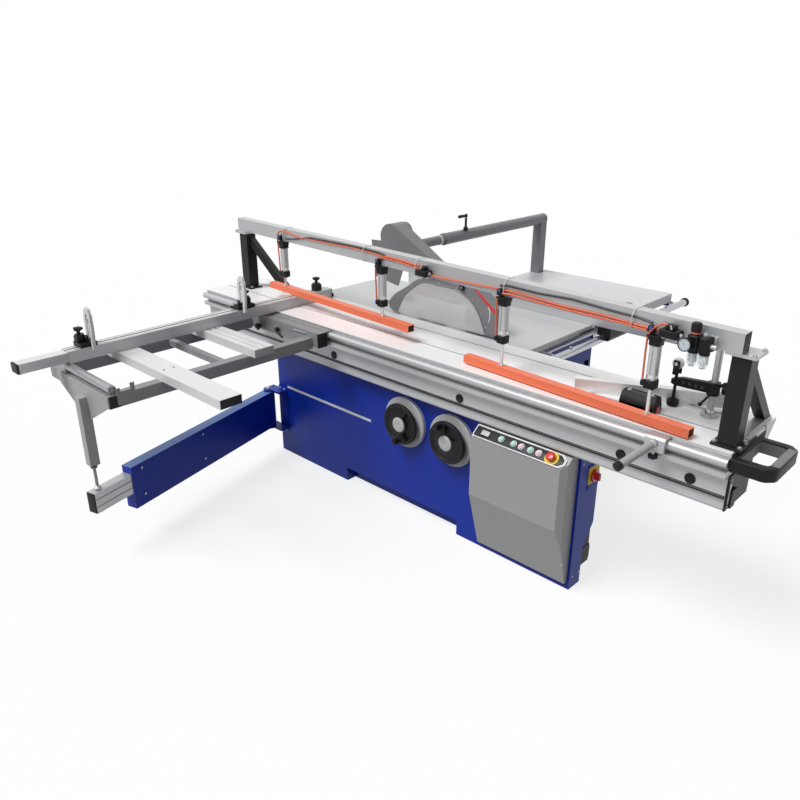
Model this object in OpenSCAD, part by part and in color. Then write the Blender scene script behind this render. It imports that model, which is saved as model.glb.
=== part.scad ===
// Sliding table saw with an outrigger table, a swing arm and an air-driven pressure beam.
// X runs along the sliding table and Y away from the handwheels. Z = 0 is the floor.
// The blade turns in the plane Y = 0.

/* [Tables] */
// Height of the table tops above the floor
table_z = 900; // [890:2:910]
// Left end of the main table
main_x0 = -960; // [-980:5:-940]
// Right end of the main table
main_x1 = 531; // [515:2:540]
// Edge of the main table beside the carriage
main_y0 = -45; // [-46:0.5:-44]
// Rear edge of the main table
main_y1 = 505; // [495:1:515]
// Depth of the rims around the tables
rim_h = 50; // [46:1:54]
// Thickness of the cast table plate
plate_t = 10; // [9:0.25:10.5]
// Width of the extension table, beyond the main table
ext_w = 875; // [860:5:900]
// Left end of the extension table
ext_x0 = -380; // [-388:1:-372]
// Sheet of the extension table
ext_t = 3; // [2:0.5:4]

/* [Cabinet] */
// Left side of the cabinet
cab_x0 = -960; // [-970:2:-950]
// Right side of the console wing
cab_x1 = 1037; // [1032:1:1050]
// Right side of the main body
body_x1 = 490; // [485:1:495]
// Front face of the console
cab_y0 = -380; // [-384:1:-378]
// Rear face of the console
console_y1 = -224; // [-228:1:-220]
// Rear face of the cabinet
cab_y1 = 600; // [590:2:620]
// Cabinet sheet
sheet_t = 4; // [3:0.5:5]
// Height of the kick space at the front
kick_h = 78; // [70:1:85]

/* [Sliding table] */
// Length of the base beam and of the carriage
car_len = 3137; // [3100:5:3180]
// Left end of the carriage
car_x0 = -1510; // [-1520:2:-1500]
// Front edge of the carriage top
car_y0 = -459; // [-461:0.5:-457]
// Edge of the carriage beside the blade
car_y1 = -47; // [-49:0.5:-46.5]
// Thickness of the carriage
car_h = 85; // [83:0.5:87]
// Front face of the base beam
beam_y0 = -450; // [-452:1:-446]
// Rear face of the base beam
beam_y1 = -240; // [-242:1:-236]
// Space between the base beam and the carriage
guide_gap = 3; // [2.5:0.25:3.5]
// Running clearance of sliding faces
slide_gap = 0.3; // [0.2:0.05:0.5]
// Radius of the round nose on the front rail
nose_r = 17; // [15:0.5:18]

/* [Saw unit] */
// Radius of the main blade
blade_r = 157.5; // [150:0.5:160]
// Thickness of the main blade
blade_t = 3.2; // [2.8:0.1:3.6]
// Height of the blade's top above the table
blade_out = 25; // [22:1:28]
// Place of the blade's centre along the table
blade_x = -70; // [-75:1:-65]
// Radius of the scoring blade
score_r = 60; // [55:1:62]
// Place of the scoring blade's centre
score_x = 162; // [160:1:166]
// Inner radius of the tilting segments
segment_r = 330; // [326:1:334]
// Distance between the arbor and the motor shaft
belt_run = 235; // [230:1:238]
// Radius of the motor casing
motor_r = 80; // [75:1:82]
// Radial clearance of shafts in their bores
shaft_gap = 0.05; // [0.03:0.01:0.08]

/* [Guard] */
// Width of the blade hood
hood_w = 70; // [66:1:72]
// Sheet of the hood
hood_t = 3; // [2.5:0.25:3.5]
// Height of the guard tube
guard_z = 1240; // [1236:1:1244]
// Place of the guard tube along the table
guard_x = -350; // [-352:1:-348]
// Outer radius of the inner guard tube
guard_r = 25; // [23:0.5:26]
// Outer radius of the extraction spigot
spigot_r = 50; // [48:1:50]
// Length of the extraction spigot
spigot_l = 42; // [38:1:46]

/* [Rip fence] */
// Radius of the round fence rail
rail_r = 20; // [19:0.25:21]
// Place of the round rail beyond the tables
rail_x = 600; // [598:1:604]
// Height of the round rail
rail_z = 845; // [843:1:848]
// Place of the rip fence face
rip_y = 501; // [490:1:510]
// Height of the rip fence
rip_h = 88; // [80:1:90]
// Thickness of the rip fence
rip_t = 45; // [40:1:48]

/* [Outrigger] */
// Left side of the outrigger frame
out_x0 = -990; // [-994:1:-986]
// Right side of the outrigger frame
out_x1 = -430; // [-436:1:-426]
// Outer side of the outrigger frame
out_y0 = -1625; // [-1632:1:-1620]
// Width of the outrigger tubes
out_w = 50; // [48:1:52]
// Top of the outrigger tubes below the table top
out_drop = 40; // [38:0.5:42]
// Height of the outrigger tubes
out_h = 55; // [50:1:58]
// Radius of the end roller
roller_r = 19.5; // [18:0.25:19.5]
// Height of the support leg's rod end
leg_z = 352.6; // [352.5:0.1:353]

/* [Crosscut fence] */
// Front face of the crosscut fence
cross_x = -820; // [-824:1:-816]
// Width of the crosscut fence
cross_w = 70; // [68:0.5:72]
// Height of the crosscut fence
cross_h = 54; // [52:0.5:55]
// Place of the pivot below the inner knob
pivot_y = -154; // [-156:1:-152]
// Outer end of the main extrusion
cross_y0 = -1600; // [-1610:2:-1590]
// Wall of the main extrusion
cross_t = 5; // [4:0.25:6]

/* [Swing arm] */
// Length of the swing arm from its hinge
arm_len = 1075; // [1060:5:1085]
// Height of the swing arm
arm_h = 220; // [216:1:224]
// Lower edge of the swing arm
arm_z = 168; // [164:1:172]
// Width of the swing arm
arm_w = 60; // [58:1:62]
// Width of the telescopic slider
slider_w = 50; // [46:1:50]
// Height of the telescopic slider
slider_h = 100; // [96:1:104]
// Radius of the hinge pin
arm_pin_r = 15; // [13:0.5:16]

/* [Pressure beam] */
// Underside of the pressure beam
press_z = 1239; // [1236:1:1242]
// Height of the pressure beam
press_h = 70; // [68:1:72]
// Width of the pressure beam
press_w = 50; // [48:1:52]
// Skew of the pressure beam against the carriage
press_turn = -3.622; // [-3.7:0.05:-3.5]
// Side of the square posts
post_w = 65; // [60:1:68]
// Width of the pressure bars
bar_w = 40; // [36:1:42]
// Height of the pressure bars
bar_h = 33; // [30:1:34]
// Radius of the air cylinders
air_r = 25; // [23:0.5:26]
// Radius of the piston rods
rod_r = 7; // [6:0.5:8]
// Radius of the air hoses
hose_r = 4; // [3.5:0.25:4.5]

/* [Controls] */
// Height of the handwheel shafts
wheel_z = 501; // [498:1:504]
// Place of the height handwheel
rise_x = 64; // [62:1:66]
// Place of the tilt handwheel
tilt_x = 363; // [361:1:365]
// Radius of the handwheels
wheel_r = 107; // [104:1:110]
// Thickness of the collars behind the handwheels
collar_t = 22; // [20:1:24]
// Front face of the control box
box_y = -480; // [-484:1:-476]
// Radius of the push buttons
button_r = 11; // [10:0.25:11.5]
// Travel space below a button
button_travel = 4; // [3.5:0.25:5]

/* [Hidden] */
$fn = 48;

main_z = table_z - rim_h;
car_x1 = car_x0 + car_len;
car_z = table_z - car_h;
beam_top = car_z - guide_gap;
beam_z = 668;
nose_y = car_y0 - 15;
nose_z = table_z - 31;
nose_front = nose_y - nose_r;
blade_z = table_z + blade_out - blade_r;
motor_z = blade_z - belt_run;
score_z = table_z - 5 - score_r;
out_z1 = table_z - out_drop;
out_z0 = out_z1 - out_h;
cross_z0 = table_z + 1;
cross_z1 = cross_z0 + cross_h;
cross_mid = cross_x - cross_w / 2;
tongue_w = cross_w - 2 * cross_t - 2 * slide_gap;
tongue_h = cross_h - 2 * cross_t - 2 * slide_gap;
inner_y1 = nose_front - slide_gap;
inner_y0 = inner_y1 - 56;
arm_x = cab_x0 - 25;
arm_y = cab_y0 - 60;
arm_turn = -74.69;
slider_z = leg_z - 0.6 - slider_h;
leg_out = 16.8;
leg_y = out_y0 - leg_out;
leg_r = (leg_y - arm_y) / sin(arm_turn);
leg_x = arm_x + leg_r * cos(arm_turn);
press_y = -326.2;
rip_x = [-750, 1150];
roller_x0 = out_x0 + 140;
roller_x1 = out_x1 - 19;
switch_y = -270;
switch_z = 525;
press_x0 = car_x0 + 89;
press_x1 = car_x1 - 25;
press_face = -press_w / 2;
air_y = -25;
bar_z = [957, 907];
bar_x = [[-1090, 70], [427, 1481]];
air_x = [-955, -133, 625, 1308];
cap_z = 1040;
air_z0 = cap_z + 35;
air_z1 = press_z - 39;
post_z1 = press_z - 10;
box_x0 = 547;
box_x1 = 1024;
fascia_a = [box_y, 618];
fascia_b = [box_y + 48, 658];
fascia_tilt = atan2(fascia_b[1] - fascia_a[1], fascia_b[0] - fascia_a[0]);
fascia_mid = (fascia_a + fascia_b) / 2;
button_x = [694, 758, 797, 843, 884];
estop_x = 945;
post_y = 1300;
ext_y1 = main_y1 + ext_w;
ext_x1 = main_x1 + 14;
rise_y1 = -330;
wheel_y = cab_y0 - collar_t;
lift_y = 60;
guide_x = [blade_x - 130, blade_x + 130];
guide_y = 120;
guide_r = 12;
arbor_r = 15;
pin_z1 = arm_z + arm_h;

// Box between two opposite corners
module block(a, b) {
    translate(a) cube(b - a);
}

// Round bar along one axis
module rod_x(d, x0, x1, y, z) {
    translate([x0, y, z]) rotate([0, 90, 0]) cylinder(d = d, h = x1 - x0);
}

module rod_y(d, y0, y1, x, z) {
    translate([x, y1, z]) rotate([90, 0, 0]) cylinder(d = d, h = y1 - y0);
}

module rod_z(d, z0, z1, x, y) {
    translate([x, y, z0]) cylinder(d = d, h = z1 - z0);
}

// Outline in Y and Z, drawn out along X
module section_x(points, x0, x1) {
    translate([x0, 0, 0]) rotate([90, 0, 90]) linear_extrude(x1 - x0) polygon(points);
}

// Outline in X and Z, drawn out along Y
module section_y(points, y0, y1) {
    translate([0, y1, 0]) rotate([90, 0, 0]) linear_extrude(y1 - y0) polygon(points);
}

// Round bar between two points
module rod_between(a, b, d) {
    v = b - a;
    translate(a) rotate([0, acos(v[2] / norm(v)), atan2(v[1], v[0])]) cylinder(d = d, h = norm(v));
}

function arc(c, r, a0, a1, n) = [for (i = [0:n]) c + r * [cos(a0 + (a1 - a0) * i / n),
    sin(a0 + (a1 - a0) * i / n)]];

// Sheet-metal cabinet

step_y = -50;
step_z = 800;
function body_section(t) = [[cab_y0 + t, t], [cab_y1 - t, t], [cab_y1 - t, main_z - t],
    [step_y + t, main_z - t], [step_y + t, step_z - t], [console_y1 + t, step_z - t],
    [console_y1 + t, beam_z - t], [cab_y0 + t, beam_z - t]];
function wing_section(t) = [[cab_y0 + t, t], [console_y1 - 70 - t, t], [console_y1 - 70 - t, 172],
    [console_y1 - t, 277], [console_y1 - t, beam_z - t], [cab_y0 + t, beam_z - t]];
kick_x = [-384, 400];
kick_d = 60;
door_x = [-496, 96];
door_z = [155, 705];
door_pin_x = door_x[0] - 12;
door_pin_y = cab_y1 + 9;
knuckle_z = [200, 600];

module cabinet() {
    color([0.14, 0.22, 0.55]) difference() {
        union() {
            difference() {
                union() {
                    section_x(body_section(0), cab_x0, body_x1);
                    section_x(wing_section(0), body_x1 - 60, cab_x1);
                }
                section_x(body_section(sheet_t), cab_x0 + sheet_t, body_x1 - sheet_t);
                section_x(wing_section(sheet_t), body_x1 - 60, cab_x1 - sheet_t);
            }
            block([kick_x[0] - sheet_t, cab_y0, 0], [kick_x[1] + sheet_t, cab_y0 + kick_d + sheet_t,
                kick_h + sheet_t]);
            arm_lugs();
            door_knuckles(false);
        }
        block([kick_x[0], cab_y0 - 1, -1], [kick_x[1], cab_y0 + kick_d, kick_h]);
        block([-330, console_y1 - 1, beam_z], [330, console_y1 + sheet_t + 1, step_z - sheet_t]);
        block([-500, console_y1 + 12, step_z - 10], [430, main_y1 - 25, main_z + 1]);
        block([door_x[0] + 16, cab_y1 - sheet_t - 1, door_z[0] + 15],
            [door_x[1] - 16, cab_y1 + 1, door_z[1] - 15]);
        block([body_x1 - sheet_t - 1, 535, 640], [body_x1 + 1, 580, 685]);
        for (x = [rise_x, tilt_x]) rod_y(40, cab_y0 - 1, cab_y0 + sheet_t + 1, x, wheel_z);
        rod_x(16, cab_x1 - sheet_t - 1, cab_x1 + 1, switch_y, switch_z);
    }
}

// Lugs and pin that carry the swing arm
module arm_lugs() {
    for (z = [arm_z - slide_gap - 12, pin_z1 + slide_gap]) {
        block([arm_x - 30, arm_y, z], [cab_x0 + 70, cab_y0, z + 12]);
        rod_z(60, z, z + 12, arm_x, arm_y);
    }
    block([cab_x0, cab_y0 - 5, arm_z - 28], [cab_x0 + 70, cab_y0, pin_z1 + 28]);
    rod_z(2 * arm_pin_r, arm_z - 13, pin_z1 + 13, arm_x, arm_y);
}

// Hinge barrels, the fixed ones with their pins
module door_knuckles(moving) {
    for (z = knuckle_z) {
        z0 = moving ? z + 25 + slide_gap : z;
        rod_z(16, z0, z0 + 24, door_pin_x, door_pin_y);
        block([door_pin_x, cab_y1 + (moving ? 2 : -sheet_t), z0],
            [door_pin_x + (moving ? 16 : 8), door_pin_y, z0 + 24]);
        if (!moving) rod_z(8, z0 + 10, z0 + 50, door_pin_x, door_pin_y);
    }
}

module rear_door() {
    color([0.14, 0.22, 0.55]) difference() {
        union() {
            block([door_x[0], cab_y1 + 0.5, door_z[0]], [door_x[1], cab_y1 + 18, door_z[1]]);
            door_knuckles(true);
        }
        block([door_x[0] + 3, cab_y1 - 1, door_z[0] + 3], [door_x[1] - 3, cab_y1 + 15, door_z[1] - 3]);
        rod_z(8 + 2 * shaft_gap, 100, 800, door_pin_x, door_pin_y);
    }
}

// Tables

insert_x = [-330, 250];
insert_y = [-36, 14];
insert_t = 3;

module main_table() {
    color([0.72, 0.73, 0.74]) {
        difference() {
            union() {
                block([main_x0, main_y0, table_z - plate_t], [main_x1, main_y1, table_z]);
                block([main_x0, main_y1 - 18, main_z], [main_x1, main_y1, table_z]);
                block([main_x0, main_y0, main_z], [main_x0 + 18, main_y1, table_z]);
                block([main_x1 - 18, main_y0, main_z], [main_x1, main_y1, table_z]);
                block([main_x0, main_y0, main_z], [-360, main_y0 + 16, table_z]);
                block([340, main_y0, main_z], [main_x1, main_y0 + 16, table_z]);
                for (y = [210, 350]) block([main_x0 + 1, y, main_z + 8],
                    [main_x1 - 1, y + 12, table_z - 1]);
                for (x = [-780, -600, 430]) block([x, main_y0 + 1, main_z + 8],
                    [x + 12, main_y1 - 1, table_z - 1]);
            }
            block([insert_x[0] + 8, insert_y[0] + 4, 0], [insert_x[1] - 8, insert_y[1] - 4, table_z + 1]);
            block([insert_x[0] - slide_gap, insert_y[0] - slide_gap, table_z - insert_t],
                [insert_x[1] + slide_gap, insert_y[1] + slide_gap, table_z + 1]);
        }
    }
}

module table_insert() {
    color([0.8, 0.8, 0.82]) difference() {
        block([insert_x[0], insert_y[0], table_z - insert_t], [insert_x[1], insert_y[1], table_z]);
        block([blade_x - 207, -6.5, 0], [score_x + score_r + 10, 3.5, table_z + 1]);
    }
}

module post_notch(g) {
    block([ext_x0 - 100, post_y - 35 - g, 0], [guard_x + 32 + g, post_y + 35 + g, table_z + 1]);
}

module extension_table() {
    color([0.72, 0.73, 0.74]) {
        difference() {
            block([ext_x0, main_y1, main_z], [ext_x1, ext_y1, table_z]);
            difference() {
                block([ext_x0 + ext_t, main_y1 + ext_t, main_z - 1],
                    [ext_x1 - ext_t, ext_y1 - ext_t, table_z - ext_t]);
                post_notch(ext_t);
            }
            post_notch(0);
        }
        for (x = [ext_x0 + 30, ext_x1 - 120])
            section_x([[cab_y1, 722], [cab_y1, main_z + 20], [cab_y1 + 450, main_z + 20],
                [cab_y1 + 450, main_z - 12]],
                x, x + 6);
    }
}

// Base beam with its guide strips

beam_lip = 81;
beam_outline = concat([[beam_y0, beam_top], [beam_y0, beam_top - beam_lip],
    [beam_y0 + 9, beam_top - beam_lip]],
    arc([beam_y0 + 23, beam_z + 14], 14, 180, 270, 5), arc([beam_y1 - 22, beam_z + 22], 22, 270, 360, 6),
    [[beam_y1, beam_top]]);

module base_beam() {
    color([0.75, 0.76, 0.78]) {
        difference() {
            section_x(beam_outline, car_x0, car_x1);
            block([car_x0 - 1, beam_y0 + 15, beam_z + 8], [car_x1 + 1, -352, beam_top - 8]);
            block([car_x0 - 1, -344, beam_z + 8], [car_x1 + 1, beam_y1 - 28, beam_top - 8]);
        }
        for (y = [beam_y0 + 10, beam_y1 - 30])
            block([car_x0, y, beam_top - 1], [car_x1, y + 15, car_z - slide_gap]);
    }
}

plug_x = [car_x0 + 1129, car_x1 - 1176, car_x1 - 394, car_x1 - 126];

// Plugs and end covers of the base beam, the switch plate and the power inlet
module plastic_trim() {
    color([0.1, 0.1, 0.1]) {
        for (x = plug_x) rod_y(40, beam_y0 - 3, beam_y0, x, beam_top - 55);
        for (x = [car_x0 - 6, car_x1])
            block([x, beam_y0 + 4, beam_z + 6], [x + 6, beam_y1 - 6, beam_top - 4]);
        block([car_x1 + 6, beam_y0 + 20, beam_z + 16], [car_x1 + 18, beam_y0 + 56, beam_z + 86]);
    }
    color([0.95, 0.8, 0.1]) difference() {
        block([cab_x1, -312, 467], [cab_x1 + 3, -228, 582]);
        rod_x(10 + 2 * shaft_gap, cab_x1 - 1, cab_x1 + 4, switch_y, switch_z);
    }
    color([0.1, 0.1, 0.1]) {
        block([cab_x1 - 62, console_y1 - 70, 80], [cab_x1 - 4, console_y1 - 4, 168]);
        rod_z(34, 168, 196, cab_x1 - 32, console_y1 - 24);
    }
}

// Control box and its panel

function box_section(t) = [[cab_y0 + (t > 0 ? 1 : 0), 35 + t], [cab_y0 - 20 + t / 2, 35 + t],
    [box_y + t, 326],
    fascia_a + [t, -t / 2], fascia_b + [t / 2, -t], [cab_y0 + (t > 0 ? 1 : 0), fascia_b[1] - t]];
function box_plan(t) = [[box_x0 + t, cab_y0 + 2], [box_x0 + t, box_y + t],
    [box_x1 - 24 - t / 2, box_y + t],
    [box_x1 - t, box_y + 24 + t / 2], [box_x1 - t, cab_y0 + 2]];
panel_x = [box_x0 + 12, box_x1 - 30];
panel_t = 3;

// Frame that lies in the sloping panel, with Z square to it
module on_panel(x) {
    translate([x, fascia_mid[0], fascia_mid[1]]) rotate([fascia_tilt, 0, 0]) children();
}

module stem_holes() {
    for (x = button_x) on_panel(x) translate([0, 0, -9]) cylinder(r = 6 + shaft_gap, h = 20);
    on_panel(estop_x) translate([0, 0, -9]) cylinder(r = 8 + shaft_gap, h = 20);
}

module control_box() {
    color([0.62, 0.63, 0.65]) difference() {
        intersection() {
            section_x(box_section(0), box_x0, box_x1);
            linear_extrude(800) polygon(box_plan(0));
        }
        intersection() {
            section_x(box_section(3), box_x0, box_x1);
            linear_extrude(800) polygon(box_plan(3));
        }
        stem_holes();
    }
}

module control_panel() {
    color([0.12, 0.12, 0.13]) difference() {
        union() {
            on_panel(0) block([panel_x[0], -29, 0], [panel_x[1], 29, panel_t]);
            on_panel(0) difference() {
                block([panel_x[0], -29, 0], [panel_x[1], 29, panel_t + 3]);
                block([panel_x[0] + 4, -25, -1], [panel_x[1] - 4, 25, panel_t + 4]);
            }
            on_panel(609) block([-24, -15, 0], [24, 15, panel_t + 2]);
            for (x = button_x) on_panel(x) cylinder(r = button_r + 3, h = panel_t + 5);
            on_panel(estop_x) cylinder(r = 28, h = panel_t + 2);
        }
        for (x = button_x) on_panel(x) translate([0, 0, panel_t]) cylinder(r = button_r + shaft_gap,
            h = 10);
        stem_holes();
    }
}

module push_button(x) {
    on_panel(x) {
        translate([0, 0, panel_t + button_travel + 0.3]) cylinder(r = button_r, h = 5);
        translate([0, 0, -10]) cylinder(r = 6, h = 18);
    }
}

module estop_button() {
    color([0.85, 0.1, 0.1]) on_panel(estop_x) {
        translate([0, 0, -12]) cylinder(r = 8, h = 30);
        translate([0, 0, panel_t + 12]) cylinder(r1 = 15, r2 = 20, h = 5);
        translate([0, 0, panel_t + 17]) cylinder(r = 20, h = 5);
        translate([0, 0, panel_t + 22]) cylinder(r1 = 20, r2 = 15, h = 3);
    }
}

module main_switch() {
    color([0.85, 0.1, 0.1]) {
        rod_x(10, cab_x1 - 14, cab_x1 + 12, switch_y, switch_z);
        rod_x(44, cab_x1 + 3 + slide_gap, cab_x1 + 15, switch_y, switch_z);
        block([cab_x1 + 14, -276, 504], [cab_x1 + 34, -264, 546]);
    }
}

// Handwheels

collar_r = 130;

module wheel_collars() {
    color([0.75, 0.76, 0.78]) for (x = [rise_x, tilt_x]) difference() {
        translate([x, cab_y0, wheel_z]) rotate([90, 0, 0]) {
            cylinder(r = collar_r, h = collar_t - 5);
            translate([0, 0, collar_t - 5]) cylinder(r1 = collar_r, r2 = collar_r - 5, h = 5);
        }
        rod_y(20 + 2 * shaft_gap, wheel_y - 1, cab_y0 + 1, x, wheel_z);
    }
}

// Dished handwheel on its shaft, with the axis along Y
module handwheel(x, y_in, grip_turn) {
    rod_y(20, wheel_y - 34, y_in, x, wheel_z);
    translate([x, wheel_y, wheel_z]) rotate([90, 0, 0]) {
        translate([0, 0, slide_gap]) cylinder(r = 35, h = 34);
        translate([0, 0, 24]) rotate_extrude() translate([wheel_r - 10, 0]) circle(r = 10);
        difference() {
            translate([0, 0, 12]) cylinder(r = wheel_r - 10, h = 7);
            for (a = [90:120:330]) rotate(a) translate([64, 0, 0]) cylinder(r = 24, h = 40);
        }
        translate([0, 0, 12]) difference() {
            cylinder(r = wheel_r - 8, h = 14);
            translate([0, 0, -1]) cylinder(r = wheel_r - 14, h = 16);
        }
        rotate(grip_turn) translate([wheel_r - 24, 0, 18]) {
            cylinder(r = 7, h = 20);
            translate([0, 0, 18]) cylinder(r1 = 12, r2 = 15, h = 38);
        }
    }
}

module rise_wheel() {
    color([0.1, 0.1, 0.1]) handwheel(rise_x, rise_y1, -90);
}

module tilt_wheel() {
    color([0.1, 0.1, 0.1]) handwheel(tilt_x, 0, 112);
}

// Tilting saw unit. Angles count from straight down towards -Y

segment_w = 42;
function down(a, r) = [-sin(a), -cos(a)] * r + [0, table_z];

module ring_sector(r0, r1, a0, a1, x0, x1) {
    intersection() {
        difference() {
            rod_x(2 * r1, x0, x1, 0, table_z);
            rod_x(2 * r0, x0 - 1, x1 + 1, 0, table_z);
        }
        section_x([[0, table_z], down(a0, 800), down((a0 + a1) / 2, 800), down(a1, 800)], x0 - 1, x1 + 1);
    }
}

module trunnion_segments() {
    color([0.35, 0.36, 0.38]) for (x = [-312, 288]) {
        ring_sector(segment_r, segment_r + segment_w, -28, 44, x, x + 24);
        block([x, -60, sheet_t], [x + 24, 60, table_z - segment_r - 12]);
        block([x, -292, sheet_t], [x + 24, -256, 646]);
        block([x, -292, sheet_t], [x + 24, 60, 30]);
    }
}

frame_x = 286;
bar_a_z = table_z - 92;
bar_b_z = table_z - 300;

module saw_frame() {
    color([0.45, 0.46, 0.48]) {
        for (x = [-310, frame_x]) {
            ring_sector(segment_r - 38, segment_r - slide_gap, -26, -4, x, x + 24);
            section_x([for (p = [[5, -295], [5, -70], [150, -70], [150, -255], [120, -280]]) p + [0,
                table_z]], x, x + 24);
        }
        block([-frame_x - 1, guide_y - 12, bar_a_z], [frame_x + 1, guide_y + 12, bar_a_z + 24]);
        block([-frame_x - 1, guide_y - 12, bar_b_z], [guide_x[0] + 15, guide_y + 12, bar_b_z + 24]);
        block([guide_x[1] - 15, guide_y - 12, bar_b_z], [frame_x + 1, guide_y + 12, bar_b_z + 24]);
        for (x = guide_x) rod_z(2 * guide_r, bar_b_z + 10, bar_a_z + 10, x, guide_y);
        block([score_x + 58, 60, bar_a_z], [score_x + 88, guide_y, bar_a_z + 24]);
        rod_z(20, score_z - 135, bar_a_z + 10, score_x + 73, 75);
    }
}

module lift_unit() {
    color([0.5, 0.5, 0.52]) difference() {
        union() {
            block([guide_x[0] - 12, lift_y, blade_z - 320], [guide_x[1] + 12, lift_y + 15, blade_z + 30]);
            rod_y(70, lift_y - 4, 105, blade_x, blade_z);
            for (x = guide_x) block([x - 22, lift_y + 14, bar_b_z + 60],
                [x + 22, guide_y + 22, bar_b_z + 105]);
            block([blade_x - 205, blade_t / 2 - 0.35, blade_z - 78],
                [blade_x - 167, lift_y + 1, blade_z - 18]);
            block([blade_x - 205, lift_y, blade_z - 78], [guide_x[0], lift_y + 15, blade_z - 18]);
        }
        rod_y(2 * (arbor_r + shaft_gap), 50, 110, blade_x, blade_z);
        rod_y(50, 50, lift_y + 16, blade_x, motor_z);
        for (x = guide_x) rod_z(2 * (guide_r + shaft_gap), bar_b_z, bar_a_z, x, guide_y);
    }
}

module motor() {
    color([0.25, 0.27, 0.3]) difference() {
        union() {
            rod_y(2 * motor_r, lift_y + 15, 345, blade_x, motor_z);
            for (y = [110:14:300]) rod_y(2 * motor_r + 8, y, y + 5, blade_x, motor_z);
            block([blade_x - 40, 170, motor_z - motor_r - 22], [blade_x + 40, 250, motor_z]);
        }
        rod_y(24 + 2 * shaft_gap, lift_y, 200, blade_x, motor_z);
    }
}

module belt_loop(g) {
    translate([blade_x, 0, blade_z]) rotate([90, 0, 0]) cylinder(r = 35 + g, h = 18, $fn = 32);
    translate([blade_x, 0, motor_z]) rotate([90, 0, 0]) cylinder(r = 55 + g, h = 18, $fn = 32);
}

module drive_belt() {
    color([0.1, 0.1, 0.1]) translate([0, 52, 0]) difference() {
        hull() belt_loop(slide_gap + 4);
        translate([0, 1, 0]) scale([1, 2, 1]) hull() belt_loop(slide_gap + 0.5);
    }
}

module arbor() {
    color([0.6, 0.6, 0.62]) {
        rod_y(2 * arbor_r, -22, 104, blade_x, blade_z);
        rod_y(76, blade_t / 2, 10, blade_x, blade_z);
        rod_y(76, -10, -blade_t / 2, blade_x, blade_z);
        rod_y(36, -22, -10, blade_x, blade_z);
        rod_y(70, 32, 54, blade_x, blade_z);
    }
}

// Saw blade with raked teeth and a bore, in the XZ plane
function tooth(r, a, step) = [[(r - 7) * cos(a), (r - 7) * sin(a)],
    [r * cos(a + step * 0.05), r * sin(a + step * 0.05)],
    [(r - 1.5) * cos(a + step * 0.45), (r - 1.5) * sin(a + step * 0.45)],
        [(r - 9) * cos(a + step * 0.75), (r - 9) * sin(a + step * 0.75)]];

module blade(r, teeth, t, bore) {
    rotate([90, 0, 0]) translate([0, 0, -t / 2]) linear_extrude(t) difference() {
        polygon([for (i = [0:teeth - 1]) each tooth(r, -i * 360 / teeth, -360 / teeth)]);
        circle(r = bore);
    }
}

module main_blade() {
    color([0.78, 0.79, 0.8]) translate([blade_x, 0, blade_z]) blade(blade_r, 40, blade_t,
        arbor_r + shaft_gap);
}

module motor_pulley() {
    color([0.6, 0.6, 0.62]) {
        rod_y(110, 32, 54, blade_x, motor_z);
        rod_y(24, 30, 198, blade_x, motor_z);
    }
}

module riving_knife() {
    color([0.6, 0.6, 0.62]) intersection() {
        difference() {
            rod_y(2 * (blade_r + 42), -1.25, 1.25, blade_x, blade_z);
            rod_y(2 * (blade_r + 5), -2, 2, blade_x, blade_z);
        }
        block([blade_x - 300, -2, blade_z - 78], [blade_x - 55, 2, blade_z + blade_r - 5]);
    }
}

module scoring_unit() {
    color([0.5, 0.5, 0.52]) difference() {
        union() {
            block([score_x - 32, 40, score_z - 190], [score_x + 91, 56, score_z + 28]);
            block([score_x - 32, 14, score_z - 190], [score_x + 32, 41, score_z + 28]);
            block([score_x + 58, 55, score_z - 115], [score_x + 88, 75, score_z - 55]);
            rod_z(36, score_z - 115, score_z - 55, score_x + 73, 75);
            rod_y(80, 55, 190, score_x, score_z - 150);
        }
        rod_y(16 + 2 * shaft_gap, 10, 60, score_x, score_z);
        rod_z(20 + 2 * shaft_gap, score_z - 200, score_z, score_x + 73, 75);
    }
}

module scoring_spindle() {
    color([0.6, 0.6, 0.62]) {
        rod_y(16, -8, 54, score_x, score_z);
        rod_y(40, -6, 12, score_x, score_z);
        translate([score_x, 0, score_z]) blade(score_r, 20, blade_t, 5);
    }
}

// Blade guard

hanger_y = 118;
pivot_r = 15;
elbow = [-375, 1300];
spigot_at = [elbow[0] - 12, elbow[1] + 15];
hood_outline = [[-402, 951], [-389, 922], [-362, 908], [321, 908], [314, 1044], [196, 1128], [56, 1125],
    [-164, 1119], [-200, 1103], [-263, 1059], [-345, 1008]];
window_outline = [[-334, 908], [-315, 950], [-276, 1018], [-215, 1068], [-156, 1106], [75, 1107],
    [166, 1064],
    [218, 1008], [245, 950], [262, 908]];

lever_x = guard_x + 20;
lever_y = 520;
lever_z = guard_z + 112;
sleeve_y0 = 348;

module guard_post() {
    color([0.45, 0.46, 0.48]) {
        difference() {
            union() {
                block([guard_x - 30, post_y - 30, main_z - 70], [guard_x + 30, post_y + 30, guard_z]);
                rod_y(2 * guard_r + 14, sleeve_y0, post_y + 30, guard_x, guard_z);
            }
            rod_y(2 * (guard_r + shaft_gap), sleeve_y0 - 1, post_y + 26, guard_x, guard_z);
        }
        block([guard_x + 29, post_y - 20, main_z + 10], [guard_x + 32, post_y + 20, table_z - 10]);
        rod_z(20, guard_z + guard_r - 1, guard_z + guard_r + 22, lever_x, lever_y);
        rod_z(10, guard_z + guard_r + 18, lever_z + 8, lever_x, lever_y);
        rod_y(10, lever_y - 64, lever_y + 1, lever_x, lever_z);
    }
}

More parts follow.
